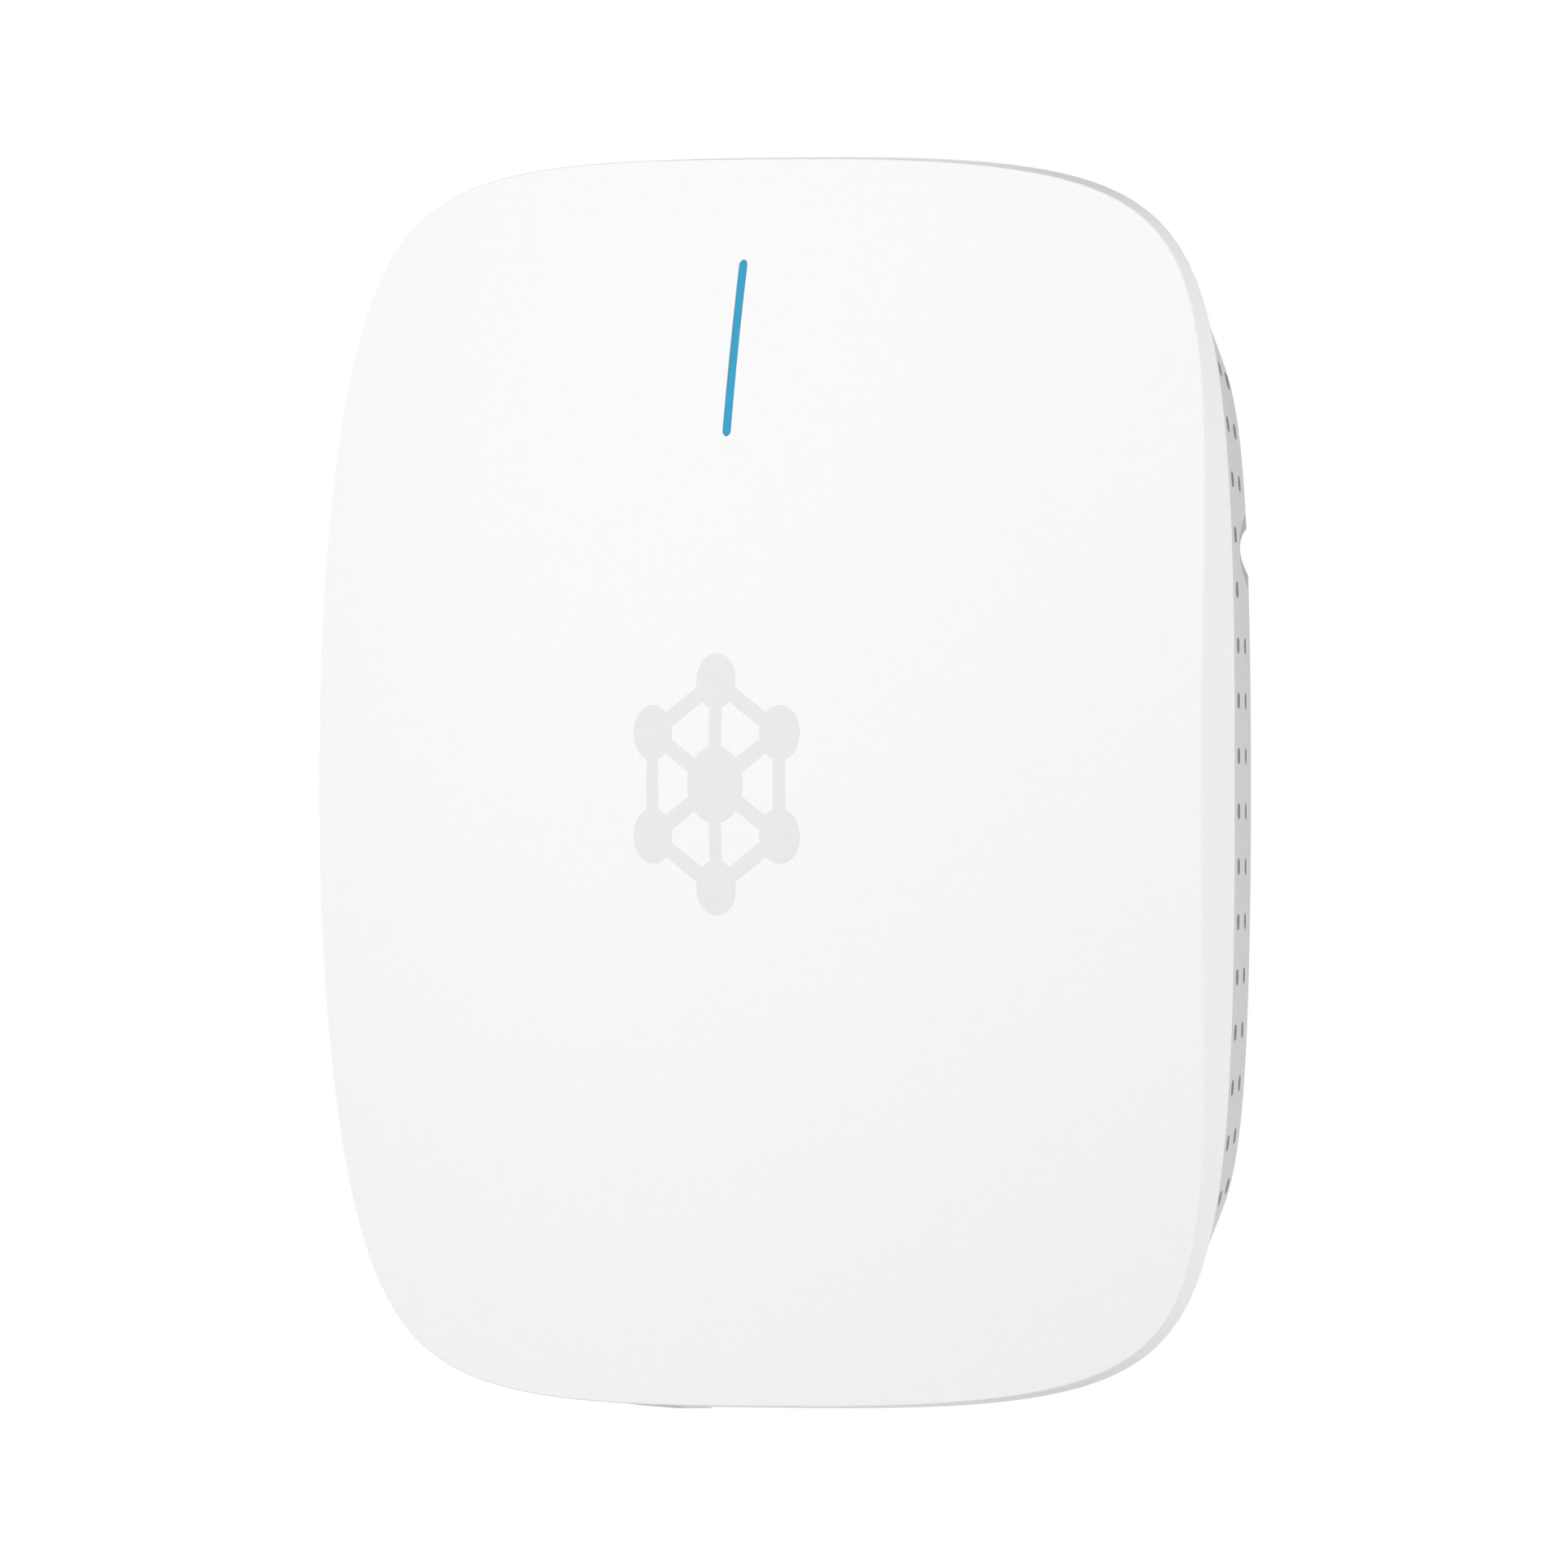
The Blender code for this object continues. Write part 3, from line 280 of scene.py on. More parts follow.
class Nodes:
    """A Principled material and short ways to feed it."""

    def __init__(self, name, colour, roughness, metallic=0.0):
        self.material = bpy.data.materials.new(name)
        self.material.use_nodes = True
        self.tree = self.material.node_tree
        self.shader = self.tree.nodes["Principled BSDF"]
        self.shader.inputs["Base Color"].default_value = (*colour, 1.0)
        self.shader.inputs["Roughness"].default_value = roughness
        self.shader.inputs["Metallic"].default_value = metallic
        self.material.diffuse_color = (*colour, 1.0)
        self.coordinates = self.tree.nodes.new("ShaderNodeTexCoord").outputs["Object"]

    def link(self, source, node, socket):
        self.tree.links.new(source, node.inputs[socket])

    def stretched(self, scale):
        mapping = self.tree.nodes.new("ShaderNodeMapping")
        mapping.inputs["Scale"].default_value = scale
        self.link(self.coordinates, mapping, "Vector")
        return mapping.outputs["Vector"]

    def noise(self, scale, detail=3.0, roughness=0.5, coordinates=None):
        node = self.tree.nodes.new("ShaderNodeTexNoise")
        node.inputs["Scale"].default_value = scale
        node.inputs["Detail"].default_value = detail
        node.inputs["Roughness"].default_value = roughness
        self.link(coordinates or self.coordinates, node, "Vector")
        return node.outputs["Fac"]

    def cells(self, scale):
        node = self.tree.nodes.new("ShaderNodeTexVoronoi")
        node.inputs["Scale"].default_value = scale
        self.link(self.coordinates, node, "Vector")
        return node.outputs["Distance"]

    def ramp(self, factor, low, high, dark, light):
        """Map a factor between low and high to a colour between dark and light."""
        node = self.tree.nodes.new("ShaderNodeValToRGB")
        node.color_ramp.elements[0].position = low
        node.color_ramp.elements[1].position = high
        node.color_ramp.elements[0].color = (*dark, 1.0)
        node.color_ramp.elements[1].color = (*light, 1.0)
        self.link(factor, node, "Fac")
        return node.outputs["Color"]

    def span(self, factor, low, high):
        """Map a 0 to 1 factor to a number between low and high."""
        node = self.tree.nodes.new("ShaderNodeMapRange")
        node.inputs["To Min"].default_value = low
        node.inputs["To Max"].default_value = high
        self.link(factor, node, "Value")
        return node.outputs["Result"]

    def mix(self, factor, a, b, kind="MIX"):
        node = self.tree.nodes.new("ShaderNodeMix")
        node.data_type = "RGBA"
        node.blend_type = kind
        self.tree.links.new(factor, node.inputs["Factor"])
        self.tree.links.new(a, node.inputs[6])
        self.tree.links.new(b, node.inputs[7])
        return node.outputs[2]

    def bump(self, height, distance, strength=1.0, normal=None):
        node = self.tree.nodes.new("ShaderNodeBump")
        node.inputs["Distance"].default_value = distance
        node.inputs["Strength"].default_value = strength
        self.link(height, node, "Height")
        if normal is not None:
            self.link(normal, node, "Normal")
        return node.outputs["Normal"]

    def colour(self, source):
        self.link(source, self.shader, "Base Color")

    def roughness(self, source):
        self.link(source, self.shader, "Roughness")

    def normal(self, source):
        self.link(source, self.shader, "Normal")


def tinted(colour, factor):
    return tuple(min(1.0, channel * factor) for channel in colour)


def moulded_plastic(name, colour, roughness, grain=0.35 * MM, depth=0.006 * MM, mottle=0.02):
    """Spark-eroded mould texture: fine pits, faint mottling, and a slow change in gloss."""
    m = Nodes(name, colour, roughness)
    blotches = m.noise(1 / (0.45 * MM), 3.0, 0.7)
    m.colour(m.ramp(blotches, 0.3, 0.7, tinted(colour, 1 - mottle), tinted(colour, 1 + mottle)))
    m.roughness(m.span(m.noise(1 / (9 * MM), 2.0), roughness - 0.06, roughness + 0.06))
    pits = m.noise(1 / grain, 5.0, 0.65)
    fine = m.cells(1 / (grain * 0.55))
    m.normal(m.bump(fine, depth * 0.5, 0.5, m.bump(pits, depth, 0.8)))
    m.shader.inputs["Specular IOR Level"].default_value = 0.4
    return m


def sheet_metal(name, colour, roughness, grain_axis, tint=None):
    """Rolled or drawn sheet: streaks along one axis, soft clouds, light handling marks."""
    m = Nodes(name, colour, roughness, 1.0)
    scale = {"x": (40, 1500, 1500), "y": (1500, 40, 1500), "z": (1500, 1500, 40)}[grain_axis]
    streaks = m.noise(1.0, 3.0, 0.6, m.stretched(scale))
    clouds = m.noise(1 / (14 * MM), 3.0, 0.55)
    base = m.ramp(streaks, 0.25, 0.75, tinted(colour, 0.86), tinted(colour, 1.08))
    other = m.ramp(clouds, 0.35, 0.7, tint or tinted(colour, 0.92), tinted(colour, 1.04))
    m.colour(m.mix(m.span(clouds, 0.1, 0.5), base, other))
    m.roughness(m.span(streaks, roughness - 0.08, roughness + 0.12))
    m.normal(m.bump(streaks, 0.002 * MM, 0.6))
    return m


# ---------------------------------------------------------------- body shells

def screw_places(kind):
    """Centres (x, z) of the four screws of a kind, board or case."""
    places = []
    for number in range(1, 5):
        low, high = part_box(f"{kind}_screw_{number}")
        places.append(((low.x + high.x) / 2, (low.z + high.z) / 2))
    return places


def light_outline(width, length, steps=10):
    """Outline function of an upright round-ended bar about the status light's centre."""
    def outline(grow=0.0):
        r = width / 2 + grow
        run = (length - width) / 2
        points = []
        for end, first in ((1, 0.0), (-1, pi)):
            for i in range(steps + 1):
                angle = first + pi * i / steps
                points.append((r * cos(angle), LIGHT_Z + end * run + r * sin(angle)))
        return points
    return outline



def cover_shell():
    """Domed cover with a small radius where dome meets band, and a softened rear lip."""
    edge_radius, lip_radius = 0.25 * MM, 0.3 * MM
    lip_y = PARTING_Y - SEAM / 2
    fine = angles()
    rings = []
    for step in range(1, 25):
        scale = step / 24 * (1 - edge_radius / BODY_HALF)
        rings.append([(x, dome_y(x, z), z) for x, z in (body_point(a, scale) for a in fine)])
    profiles = []
    for a in fine:
        x, z = body_point(a)
        out = Vector((x, 0, z)).normalized()
        crease = Vector((x, dome_y(x, z), z))
        back_in = body_point(a, 1 - edge_radius / BODY_HALF)
        on_dome = Vector((back_in.x, dome_y(*back_in), back_in.y))
        tip = Vector((x, lip_y, z)) + out * BAND_FLARE
        down = (tip - crease).normalized()
        inside = tip - out * COVER_WALL
        profile = bezier(on_dome, crease, crease + down * edge_radius, 6)[1:]
        profile += bezier(tip - down * lip_radius, tip, tip - out * lip_radius, 4)
        profile += bezier(inside + out * lip_radius, inside, inside + Vector((0, -lip_radius, 0)), 3)
        profiles.append(profile)
    for k in range(len(profiles[0])):
        rings.append([profile[k] for profile in profiles])
    inner = 1 - COVER_WALL / BODY_HALF
    for scale in (inner, 0.8, 0.6, 0.4, 0.2):
        ring = [body_point(a, scale) for a in fine]
        rings.append([(x, dome_y(x, z) + COVER_WALL, z) for x, z in ring])
    top = dome_y(0, 0)
    cover = skin(rings, "cover", start=(0, top, 0), end=(0, top + COVER_WALL, 0))
    for x, z in screw_places("case"):
        root = dome_y(x, z) + COVER_WALL / 2
        fuse(cover, plate(disc(x, z, COVER_BOSS), "y", root, PARTING_Y - CAD_GAP))
        cut(cover, plate(disc(x, z, COVER_HOLE), "y", root + COVER_WALL, PARTING_Y))
    for z in (LIGHT_Z - POST_REACH, LIGHT_Z + POST_REACH):
        fuse(cover, plate(disc(0, z, POST_RADIUS, 24), "y", dome_y(0, z) + COVER_WALL / 2,
                          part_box("led_board")[0].y - SEAM))
    cut(cover, plate(light_outline(LIGHT_WIDTH + 2 * SEAM, LIGHT_LENGTH + 2 * SEAM), "y", top - 5 * MM, LIGHT_INNER_Y))
    return cover


def light_bar():
    """Lens of the status light: follows the dome, with rounded rims and a faint crown."""
    rim = 0.16 * MM
    outline = light_outline(LIGHT_WIDTH, LIGHT_LENGTH, 14)
    sections = [(LIGHT_INNER_Y, 0.0, False), (rim, 0.0, True), (rim * 0.45, -rim * 0.12, True),
                (rim * 0.12, -rim * 0.45, True), (0.0, -rim, True), (-0.02 * MM, -0.32 * MM, True),
                (-0.03 * MM, -0.5 * MM, True), (-0.035 * MM, -LIGHT_WIDTH / 2 + 0.02 * MM, True)]
    rings = []
    for height, grow, on_dome in sections:
        rings.append([(x, dome_y(x, z) + height if on_dome else height, z) for x, z in outline(grow)])
    return skin(rings, "light_bar")


def emblem():
    """Printed generic mark: a hub and six discs joined to it and to one another, as a film on the dome."""
    reach, node_radius, hub_radius, link_width = 14.9 * MM, 4.0 * MM, 5.6 * MM, 2.4 * MM
    hub = Vector((0.45 * MM, -0.25 * MM))
    ends = [hub + Vector((reach * cos(a), reach * sin(a))) for a in (pi / 2 + pi / 3 * k for k in range(6))]
    front, back = dome_y(0, 0) - 2 * MM, dome_y(0, 0) + 3 * MM
    mark = plate(disc(*hub, hub_radius, 64), "y", front, back)
    for end in ends:
        fuse(mark, plate(disc(*end, node_radius, 64), "y", front, back))
    links = [(hub, end) for end in ends] + [(ends[k - 1], ends[k]) for k in range(6)]
    for first, second in links:
        run = (second - first).normalized()
        side = Vector((-run.y, run.x)) * link_width / 2
        corners = [first + side, first - side, second - side, second + side]
        fuse(mark, plate(lambda grow, c=corners: [(p.x, p.y) for p in c], "y", front, back))
    film_front, film_back = -0.03 * MM, 0.02 * MM
    scales = (0.05, 0.1, 0.15, 0.2, 0.25)
    rings = []
    for offset, run in ((film_front, scales), (film_back, reversed(scales))):
        for scale in run:
            ring = [body_point(a, scale) for a in angles(96)]
            rings.append([(x, dome_y(x, z) + offset, z) for x, z in ring])
    top = dome_y(0, 0)
    film = skin(rings, "film", start=(0, top + film_front, 0), end=(0, top + film_back, 0))
    return combine(film, "INTERSECT", mark)


# ---------------------------------------------------------------- rear housing

VENT_PITCH, VENTS_PER_SIDE = 7.95 * MM, 16
VENT_ROWS = (0.36, 0.75)
VENT_WIDTH, VENT_LENGTH = 2.2 * MM, 4.4 * MM
NOTCH_Z = (jack_low.z + jack_high.z) / 2
NOTCH_HALF_WIDTH, NOTCH_DEPTH = 3.4 * MM, 9.0 * MM     # depth along Y, from the rear plane
NOTCH_CUT = 9.0 * MM                                   # how deep its cutter reaches into the wall
# Width and depth of the rim round the cable notch, a flush insert whose darker grey is painted shade for the shading
# round the notch's edge
SHADE_RIM_WIDTH, SHADE_RIM_DEPTH = 2.1 * MM, 1.2 * MM
LUG_LEFT, LUG_RIGHT, LUG_DEPTH, LUG_PROUD = -41.0 * MM, -22.5 * MM, 7.0 * MM, 0.6 * MM
POCKET_Y = REAR_Y - 2.0 * MM
BACK_INNER_Y = POCKET_Y - BACK_WALL
POCKET = (-44.0 * MM, -55.0 * MM, 44.0 * MM, 58.5 * MM)
BAY_LEFT = jack_high.x - 0.4 * MM
BAY_BOTTOM, BAY_TOP, BAY_FLOOR_Y = -2.0 * MM, 45.0 * MM, -17.0 * MM
BAY_WALL, BAY_FLOOR_WALL = 2.0 * MM, 1.4 * MM
HOOK_X, HOOK_WIDTH, HOOK_LEVELS = 22.5 * MM, 8.0 * MM, (-42.0 * MM, 52.0 * MM)
LATCH_HOLE = (-6.5 * MM, -26.0 * MM, 6.5 * MM, -16.8 * MM)


def wall_frame(angle, fraction):
    """Centre, along-wall, down-slope and outward directions at a place on the sloping wall."""
    point, normal = wall_point(angle, fraction), wall_normal(angle, fraction)
    centre = Vector((point.x, wall_depth(fraction), point.y))
    along = Vector((-normal.y, 0, normal.x))
    run = BODY_HALF - HOUSING_INSET - REAR_HALF
    slope = Vector((-normal.x * run, HOUSING_DEPTH, -normal.y * run)).normalized()
    outward = along.cross(slope).normalized()
    if outward.dot(Vector((normal.x, 0, normal.y))) < 0:
        outward = -outward
    return centre, along, slope, outward


def side_angle(along, fraction):
    angle = 0.0
    for _ in range(30):
        angle = atan2(along, wall_point(angle, fraction).x)
    return angle


def add_wall_prism(bm, base, outline, levels):
    """Prism through the wall: outline(grow) in along-wall and down-slope distances, levels outward from it."""
    centre, along, slope, outward = base
    add_skin(bm, [[centre + along * a + slope * b + outward * height for a, b in outline(grow)]
                  for height, grow in levels])


def vents(levels, name):
    """One prism for each vent slot, in two rows round the wall."""
    bm = bmesh.new()
    half_w, half_l = VENT_WIDTH / 2, VENT_LENGTH / 2
    outline = round_rect(-half_w, -half_l, half_w, half_l, half_w * 0.98, 4)
    for side in range(4):
        for index in range(VENTS_PER_SIDE):
            along = (index - (VENTS_PER_SIDE - 1) / 2) * VENT_PITCH
            for row in VENT_ROWS:
                if side == 0 and row == VENT_ROWS[1] and abs(along - NOTCH_Z) < 8 * MM:
                    continue
                if side == 3 and LUG_LEFT - 4 * MM < along < LUG_RIGHT + 4 * MM:
                    continue
                base = wall_frame(side * pi / 2 + side_angle(along, VENT_ROWS[0]), VENT_ROWS[0])
                centre, direction, slope, outward = base
                normal = Vector((slope.x, 0, slope.z)).normalized()
                inward = (row - VENT_ROWS[0]) * (BODY_HALF - REAR_HALF)
                centre = Vector((centre.x, wall_depth(row), centre.z)) + normal * inward
                add_wall_prism(bm, (centre, direction, slope, outward), outline, levels)
    return to_object(name, bm)


def notch_outline(half_width, depth):
    """Parabola open at the wall's rear edge: depth is measured along Y."""
    slope_scale = sqrt(HOUSING_DEPTH ** 2 + (BODY_HALF - REAR_HALF) ** 2) / HOUSING_DEPTH

    def outline(grow=0.0):
        steps = 28
        w, d = half_width + grow, (depth + 0.25 * grow) * slope_scale
        points = [(w * (2 * i / steps - 1), -d * (1 - (2 * i / steps - 1) ** 2)) for i in range(steps + 1)]
        return points + [(w, 6 * MM), (-w, 6 * MM)]
    return outline


def notch(grow, deepest):
    """Cutter of the cable notch, made wider by grow and reaching deepest into the wall."""
    bm = bmesh.new()
    base = wall_frame(side_angle(NOTCH_Z, 1.0), 1.0)
    outline = notch_outline(NOTCH_HALF_WIDTH, NOTCH_DEPTH)
    add_wall_prism(bm, base, outline, ((-deepest, grow), (1 * MM, grow)))
    return to_object("notch", bm)


def notch_shade_rim():
    """Rim let into the wall round the cable notch, flush with it, in a darker grey: painted shade for the shading
    round the notch's edge.
    """
    shade_rim = combine(outer_tub(), "INTERSECT", notch(SHADE_RIM_WIDTH - SEAM, SHADE_RIM_DEPTH))
    return cut(shade_rim, notch(0.0, NOTCH_CUT))


def wall_loft(inset, fractions):
    """Solid inside the sloping wall, inset from it, with a ring at each fraction of its depth."""
    rings = []
    for fraction in fractions:
        ring = [wall_point(a, fraction, inset) for a in angles()]
        rings.append([(p.x, wall_depth(fraction), p.y) for p in ring])
    return skin(rings)


def outer_tub():
    """Outside of the housing, with a small radius where the wall meets the rear plane."""
    radius = 0.3 * MM
    first, turn = SEAM / 2 / HOUSING_DEPTH, 1 - radius / HOUSING_DEPTH
    rings = []
    for fraction in (first, 0.25, 0.5, 0.75):
        rings.append([(p.x, wall_depth(fraction), p.y) for p in (wall_point(a, fraction) for a in angles())])
    profiles = []
    for a in angles():
        edge, above = wall_point(a, 1.0), wall_point(a, turn)
        within = wall_point(a, 1.0, radius)
        profiles.append(bezier(Vector((above.x, wall_depth(turn), above.y)),
                               Vector((edge.x, REAR_Y, edge.y)), Vector((within.x, REAR_Y, within.y)), 5))
    for k in range(len(profiles[0])):
        rings.append([profile[k] for profile in profiles])
    return skin(rings, "housing")


def lock_lug():
    steps = 24
    lower = []
    for i in range(steps + 1):
        x = LUG_RIGHT + (LUG_LEFT - LUG_RIGHT) * i / steps
        angle = -pi / 2
        for _ in range(30):
            angle = atan2(body_point(angle).y, x)
        proud = LUG_PROUD * (1 - i / steps) ** 0.7
        lower.append((x, body_point(angle).y - proud))
    top = -(BODY_HALF - 16 * MM)

    def outline(grow=0.0):
        points = lower + [(LUG_LEFT, top), (LUG_RIGHT, top)]
        return [(min(max(x, LUG_LEFT - grow), LUG_RIGHT + grow), z - grow) for x, z in points]
    return layered(outline, "y", [(PARTING_Y + SEAM, 0), (PARTING_Y + LUG_DEPTH - 0.8 * MM, 0),
                                  (PARTING_Y + LUG_DEPTH - 0.2 * MM, -0.25 * MM),
                                  (PARTING_Y + LUG_DEPTH, -0.8 * MM)])


def housing_shell():
    housing = outer_tub()
    cut(housing, wall_loft(HOUSING_WALL, (-0.05, 1 - BACK_WALL / HOUSING_DEPTH)))
    fuse(housing, block((POCKET[0] - BACK_WALL, BACK_INNER_Y, POCKET[1] - BACK_WALL),
                        (POCKET[2] + BACK_WALL, POCKET_Y - 0.2 * MM, POCKET[3] + BACK_WALL)))
    bay = block((BAY_LEFT - BAY_WALL, BAY_FLOOR_Y - BAY_FLOOR_WALL, BAY_BOTTOM - BAY_WALL),
                (BODY_HALF, REAR_Y - 1.2 * MM, BAY_TOP + BAY_WALL))
    fuse(housing, combine(bay, "INTERSECT", wall_loft(HOUSING_WALL / 2, (-0.05, 1.05))))
    board_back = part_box("main_board")[1].y
    for x, z in screw_places("board"):
        fuse(housing, plate(disc(x, z, BOARD_BOSS), "y", board_back + CAD_GAP, REAR_Y - 1.1 * MM))
    for x, z in screw_places("case"):
        fuse(housing, plate(disc(x, z, CASE_BOSS), "y", PARTING_Y, REAR_Y - 0.9 * MM))
    fuse(housing, lock_lug())

    chamfer = 0.35 * MM
    cut(housing, mouth(round_rect(*POCKET, 4 * MM), "y", POCKET_Y, REAR_Y, chamfer))
    hollow = block((BAY_LEFT, BAY_FLOOR_Y, BAY_BOTTOM), (BODY_HALF, 1 * MM, BAY_TOP))
    cut(housing, combine(hollow, "INTERSECT", wall_loft(HOUSING_WALL, (-0.05, 1.15))))
    for x, z in screw_places("board"):
        cut(housing, plate(disc(x, z, BOARD_HOLE), "y", board_back, board_back + 9 * MM))
    for x, z in screw_places("case"):
        cut(housing, plate(disc(x, z, CASE_HOLE), "y", PARTING_Y - 1 * MM, 1 * MM))
        cut(housing, mouth(disc(x, z, HEAD_RECESS, 48), "y", REAR_Y - HEAD_DEPTH, REAR_Y, chamfer))
    for level in HOOK_LEVELS:
        for x in (-HOOK_X, HOOK_X):
            window = round_rect(x - HOOK_WIDTH / 2 - 1.2 * MM, level - 8.5 * MM, x + HOOK_WIDTH / 2 + 1.2 * MM,
                                level + 1.8 * MM, 0.8 * MM, 4)
            cut(housing, mouth(window, "y", BACK_INNER_Y - 1 * MM, POCKET_Y, 0.3 * MM))
    cut(housing, mouth(round_rect(*LATCH_HOLE, 0.8 * MM, 4), "y", BACK_INNER_Y - 1 * MM, POCKET_Y, 0.2 * MM))

    wall_low = BAY_LEFT - BAY_WALL - 1 * MM
    for low, high in ((jack_low, jack_high), (dc_low, dc_high)):
        hole = round_rect(low.y - 0.15 * MM, low.z - 0.15 * MM, high.y + 0.15 * MM, high.z + 0.15 * MM, 0.4 * MM, 4)
        cut(housing, mouth(hole, "x", wall_low, BAY_LEFT, 0.3 * MM))
    reset_y, reset_z = (button_low.y + button_high.y) / 2, (button_low.z + button_high.z) / 2
    radius = (button_high.z - button_low.z) / 2
    cut(housing, mouth(disc(reset_y, reset_z, radius + 0.15 * MM), "x", wall_low, BAY_LEFT, 0.5 * MM))
    cut(housing, mouth(round_rect(label_low.x - CAD_GAP, label_low.z - CAD_GAP, label_high.x + CAD_GAP,
                                  label_high.z + CAD_GAP, 2 * MM), "y", REAR_Y - 0.5 * MM, REAR_Y, 0.15 * MM))
    lock_x = (LUG_LEFT + LUG_RIGHT) / 2 + 1 * MM
    lock_y = PARTING_Y + LUG_DEPTH / 2 + 0.2 * MM
    lock = round_rect(lock_x - 3.5 * MM, lock_y - 1.5 * MM, lock_x + 3.5 * MM, lock_y + 1.5 * MM, 1.2 * MM, 6)
    cut(housing, mouth(lock, "z", -BODY_HALF + 8 * MM, -BODY_HALF - 0.4 * MM, 0.2 * MM))
    cut(housing, vents(((-4 * MM, 0), (-0.08 * MM, 0), (0.5 * MM, 0.58 * MM)), "vent_slots"))
    cut(housing, notch(0.0, NOTCH_CUT))
    # Recess for the rim of painted shade round the cable notch
    cut(housing, notch(SHADE_RIM_WIDTH, SHADE_RIM_DEPTH + SEAM))
    return housing


# ---------------------------------------------------------------- fittings on the wall side

def turned(profile, axis, a, b, steps=32):
    """Solid of revolution about a line along axis through (a, b): profile is (height, radius) pairs."""
    return skin([[place(axis, p, q, height) for p, q in disc(a, b, radius, steps)()] for height, radius in profile])


def middle(node):
    low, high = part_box(node)
    return (low + high) / 2


def case_screw(node):
    """Pan-head screw with a flank under its head, a tapering cross recess and a blunt point."""
    low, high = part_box(node)
    centre = middle(node)
    head, shank = (high.x - low.x) / 2, 1.35 * MM
    top, root = high.y, high.y - 2.2 * MM
    profile = [(top, head * 0.45), (top - 0.1 * MM, head * 0.7), (top - 0.5 * MM, head * 0.93),
               (top - 1.0 * MM, head), (root + 0.15 * MM, head), (root, head * 0.97), (root, shank * 1.15),
               (root - 0.4 * MM, shank)]
    turns, pitch = 14, 1.1 * MM
    for turn in range(turns):
        height = root - 1.2 * MM - turn * pitch
        profile += [(height, shank * 0.78), (height - pitch / 2, shank)]
    profile += [(low.y + 1 * MM, shank * 0.7), (low.y, shank * 0.3)]
    body = turned(profile, "y", centre.x, centre.z)
    for spin in (0, 1):
        long_half, short_half, floor = head * 0.56, 0.34 * MM, top - 1.3 * MM
        half_a, half_b = (long_half, short_half) if spin else (short_half, long_half)
        slot_rings = []
        for height, shrink in ((floor, 0.45), (top + 0.2 * MM, 1.0)):
            a, b = half_a * (shrink if spin else 1), half_b * (1 if spin else shrink)
            slot_rings.append([(centre.x - a, height, centre.z - b), (centre.x + a, height, centre.z - b),
                               (centre.x + a, height, centre.z + b), (centre.x - a, height, centre.z + b)])
        cut(body, skin(slot_rings))
    return body


def rivet(node):
    """Low domed rivet head on its shank."""
    low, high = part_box(node)
    centre = middle(node)
    radius = (high.x - low.x) / 2
    rise = 0.25 * MM
    dome = [(low.y + rise * (1 - cos(t)), radius * max(sin(t), 0.05)) for t in (0.0, 0.3, 0.6, 0.9, 1.2, 1.5)]
    return turned(dome + [(low.y + rise, radius), (low.y + rise, 1.0 * MM), (high.y, 1.0 * MM)],
                  "y", centre.x, centre.z, 24)


JACK_DEPTH, JACK_MOUTH = 13.0 * MM, 5.95 * MM      # of the Ethernet socket's cavity, and its half width
JACK_FLOOR, JACK_CEILING = -16.2 * MM, -9.0 * MM   # its front and back along Y
CONTACTS, CONTACT_PITCH = 8, 1.02 * MM


def jack_liner():
    """Black moulded lining of the Ethernet socket, with the comb that its contacts lie in."""
    face, centre, wall = jack_high.x, NOTCH_Z, 0.6 * MM
    slack = 0.05 * MM
    liner = block((face - JACK_DEPTH + slack, JACK_FLOOR + slack, centre - JACK_MOUTH + slack),
                  (face - 0.5 * MM, JACK_CEILING - slack, centre + JACK_MOUTH - slack))
    cut(liner, block((face - JACK_DEPTH + wall, JACK_FLOOR + wall, centre - JACK_MOUTH + wall),
                     (face + 1 * MM, JACK_CEILING + 1 * MM, centre + JACK_MOUTH - wall)))
    for k in range(CONTACTS + 1):
        z = centre + (k - CONTACTS / 2) * CONTACT_PITCH
        fuse(liner, block((face - JACK_DEPTH + wall / 2, JACK_FLOOR + wall / 2, z - 0.16 * MM),
                          (face - 2.5 * MM, JACK_FLOOR + 1.3 * MM, z + 0.16 * MM)))
    return liner


def jack_contacts():
    """Eight sprung wires that slope up out of the comb towards the back of the socket."""
    bm = bmesh.new()
    face, wire = jack_high.x, 0.2 * MM
    path = [(face - 3.0 * MM, JACK_FLOOR + 0.9 * MM), (face - 4.0 * MM, JACK_FLOOR + 1.1 * MM),
            (face - 11.0 * MM, JACK_FLOOR + 3.6 * MM), (face - 12.2 * MM, JACK_FLOOR + 3.8 * MM)]
    for k in range(CONTACTS):
        z = NOTCH_Z + (k - (CONTACTS - 1) / 2) * CONTACT_PITCH
        rings = [[(x, y + wire * cos(t), z + wire * sin(t)) for t in (pi / 4 * i for i in range(8))]
                 for x, y in path]
        add_skin(bm, rings)
    return to_object("contacts", bm)


def power_pin():
    """Nickel sleeve on the power inlet's centre pin."""
    face = dc_high.x
    centre_y, centre_z = -13.0 * MM, middle("dc_jack").z
    profile = [(face - 8.9 * MM, 1.08 * MM), (face - 1.2 * MM, 1.08 * MM), (face - 1.0 * MM, 1.0 * MM),
               (face - 0.85 * MM, 0.8 * MM), (face - 0.8 * MM, 0.3 * MM)]
    return turned(profile, "x", centre_y, centre_z, 24)


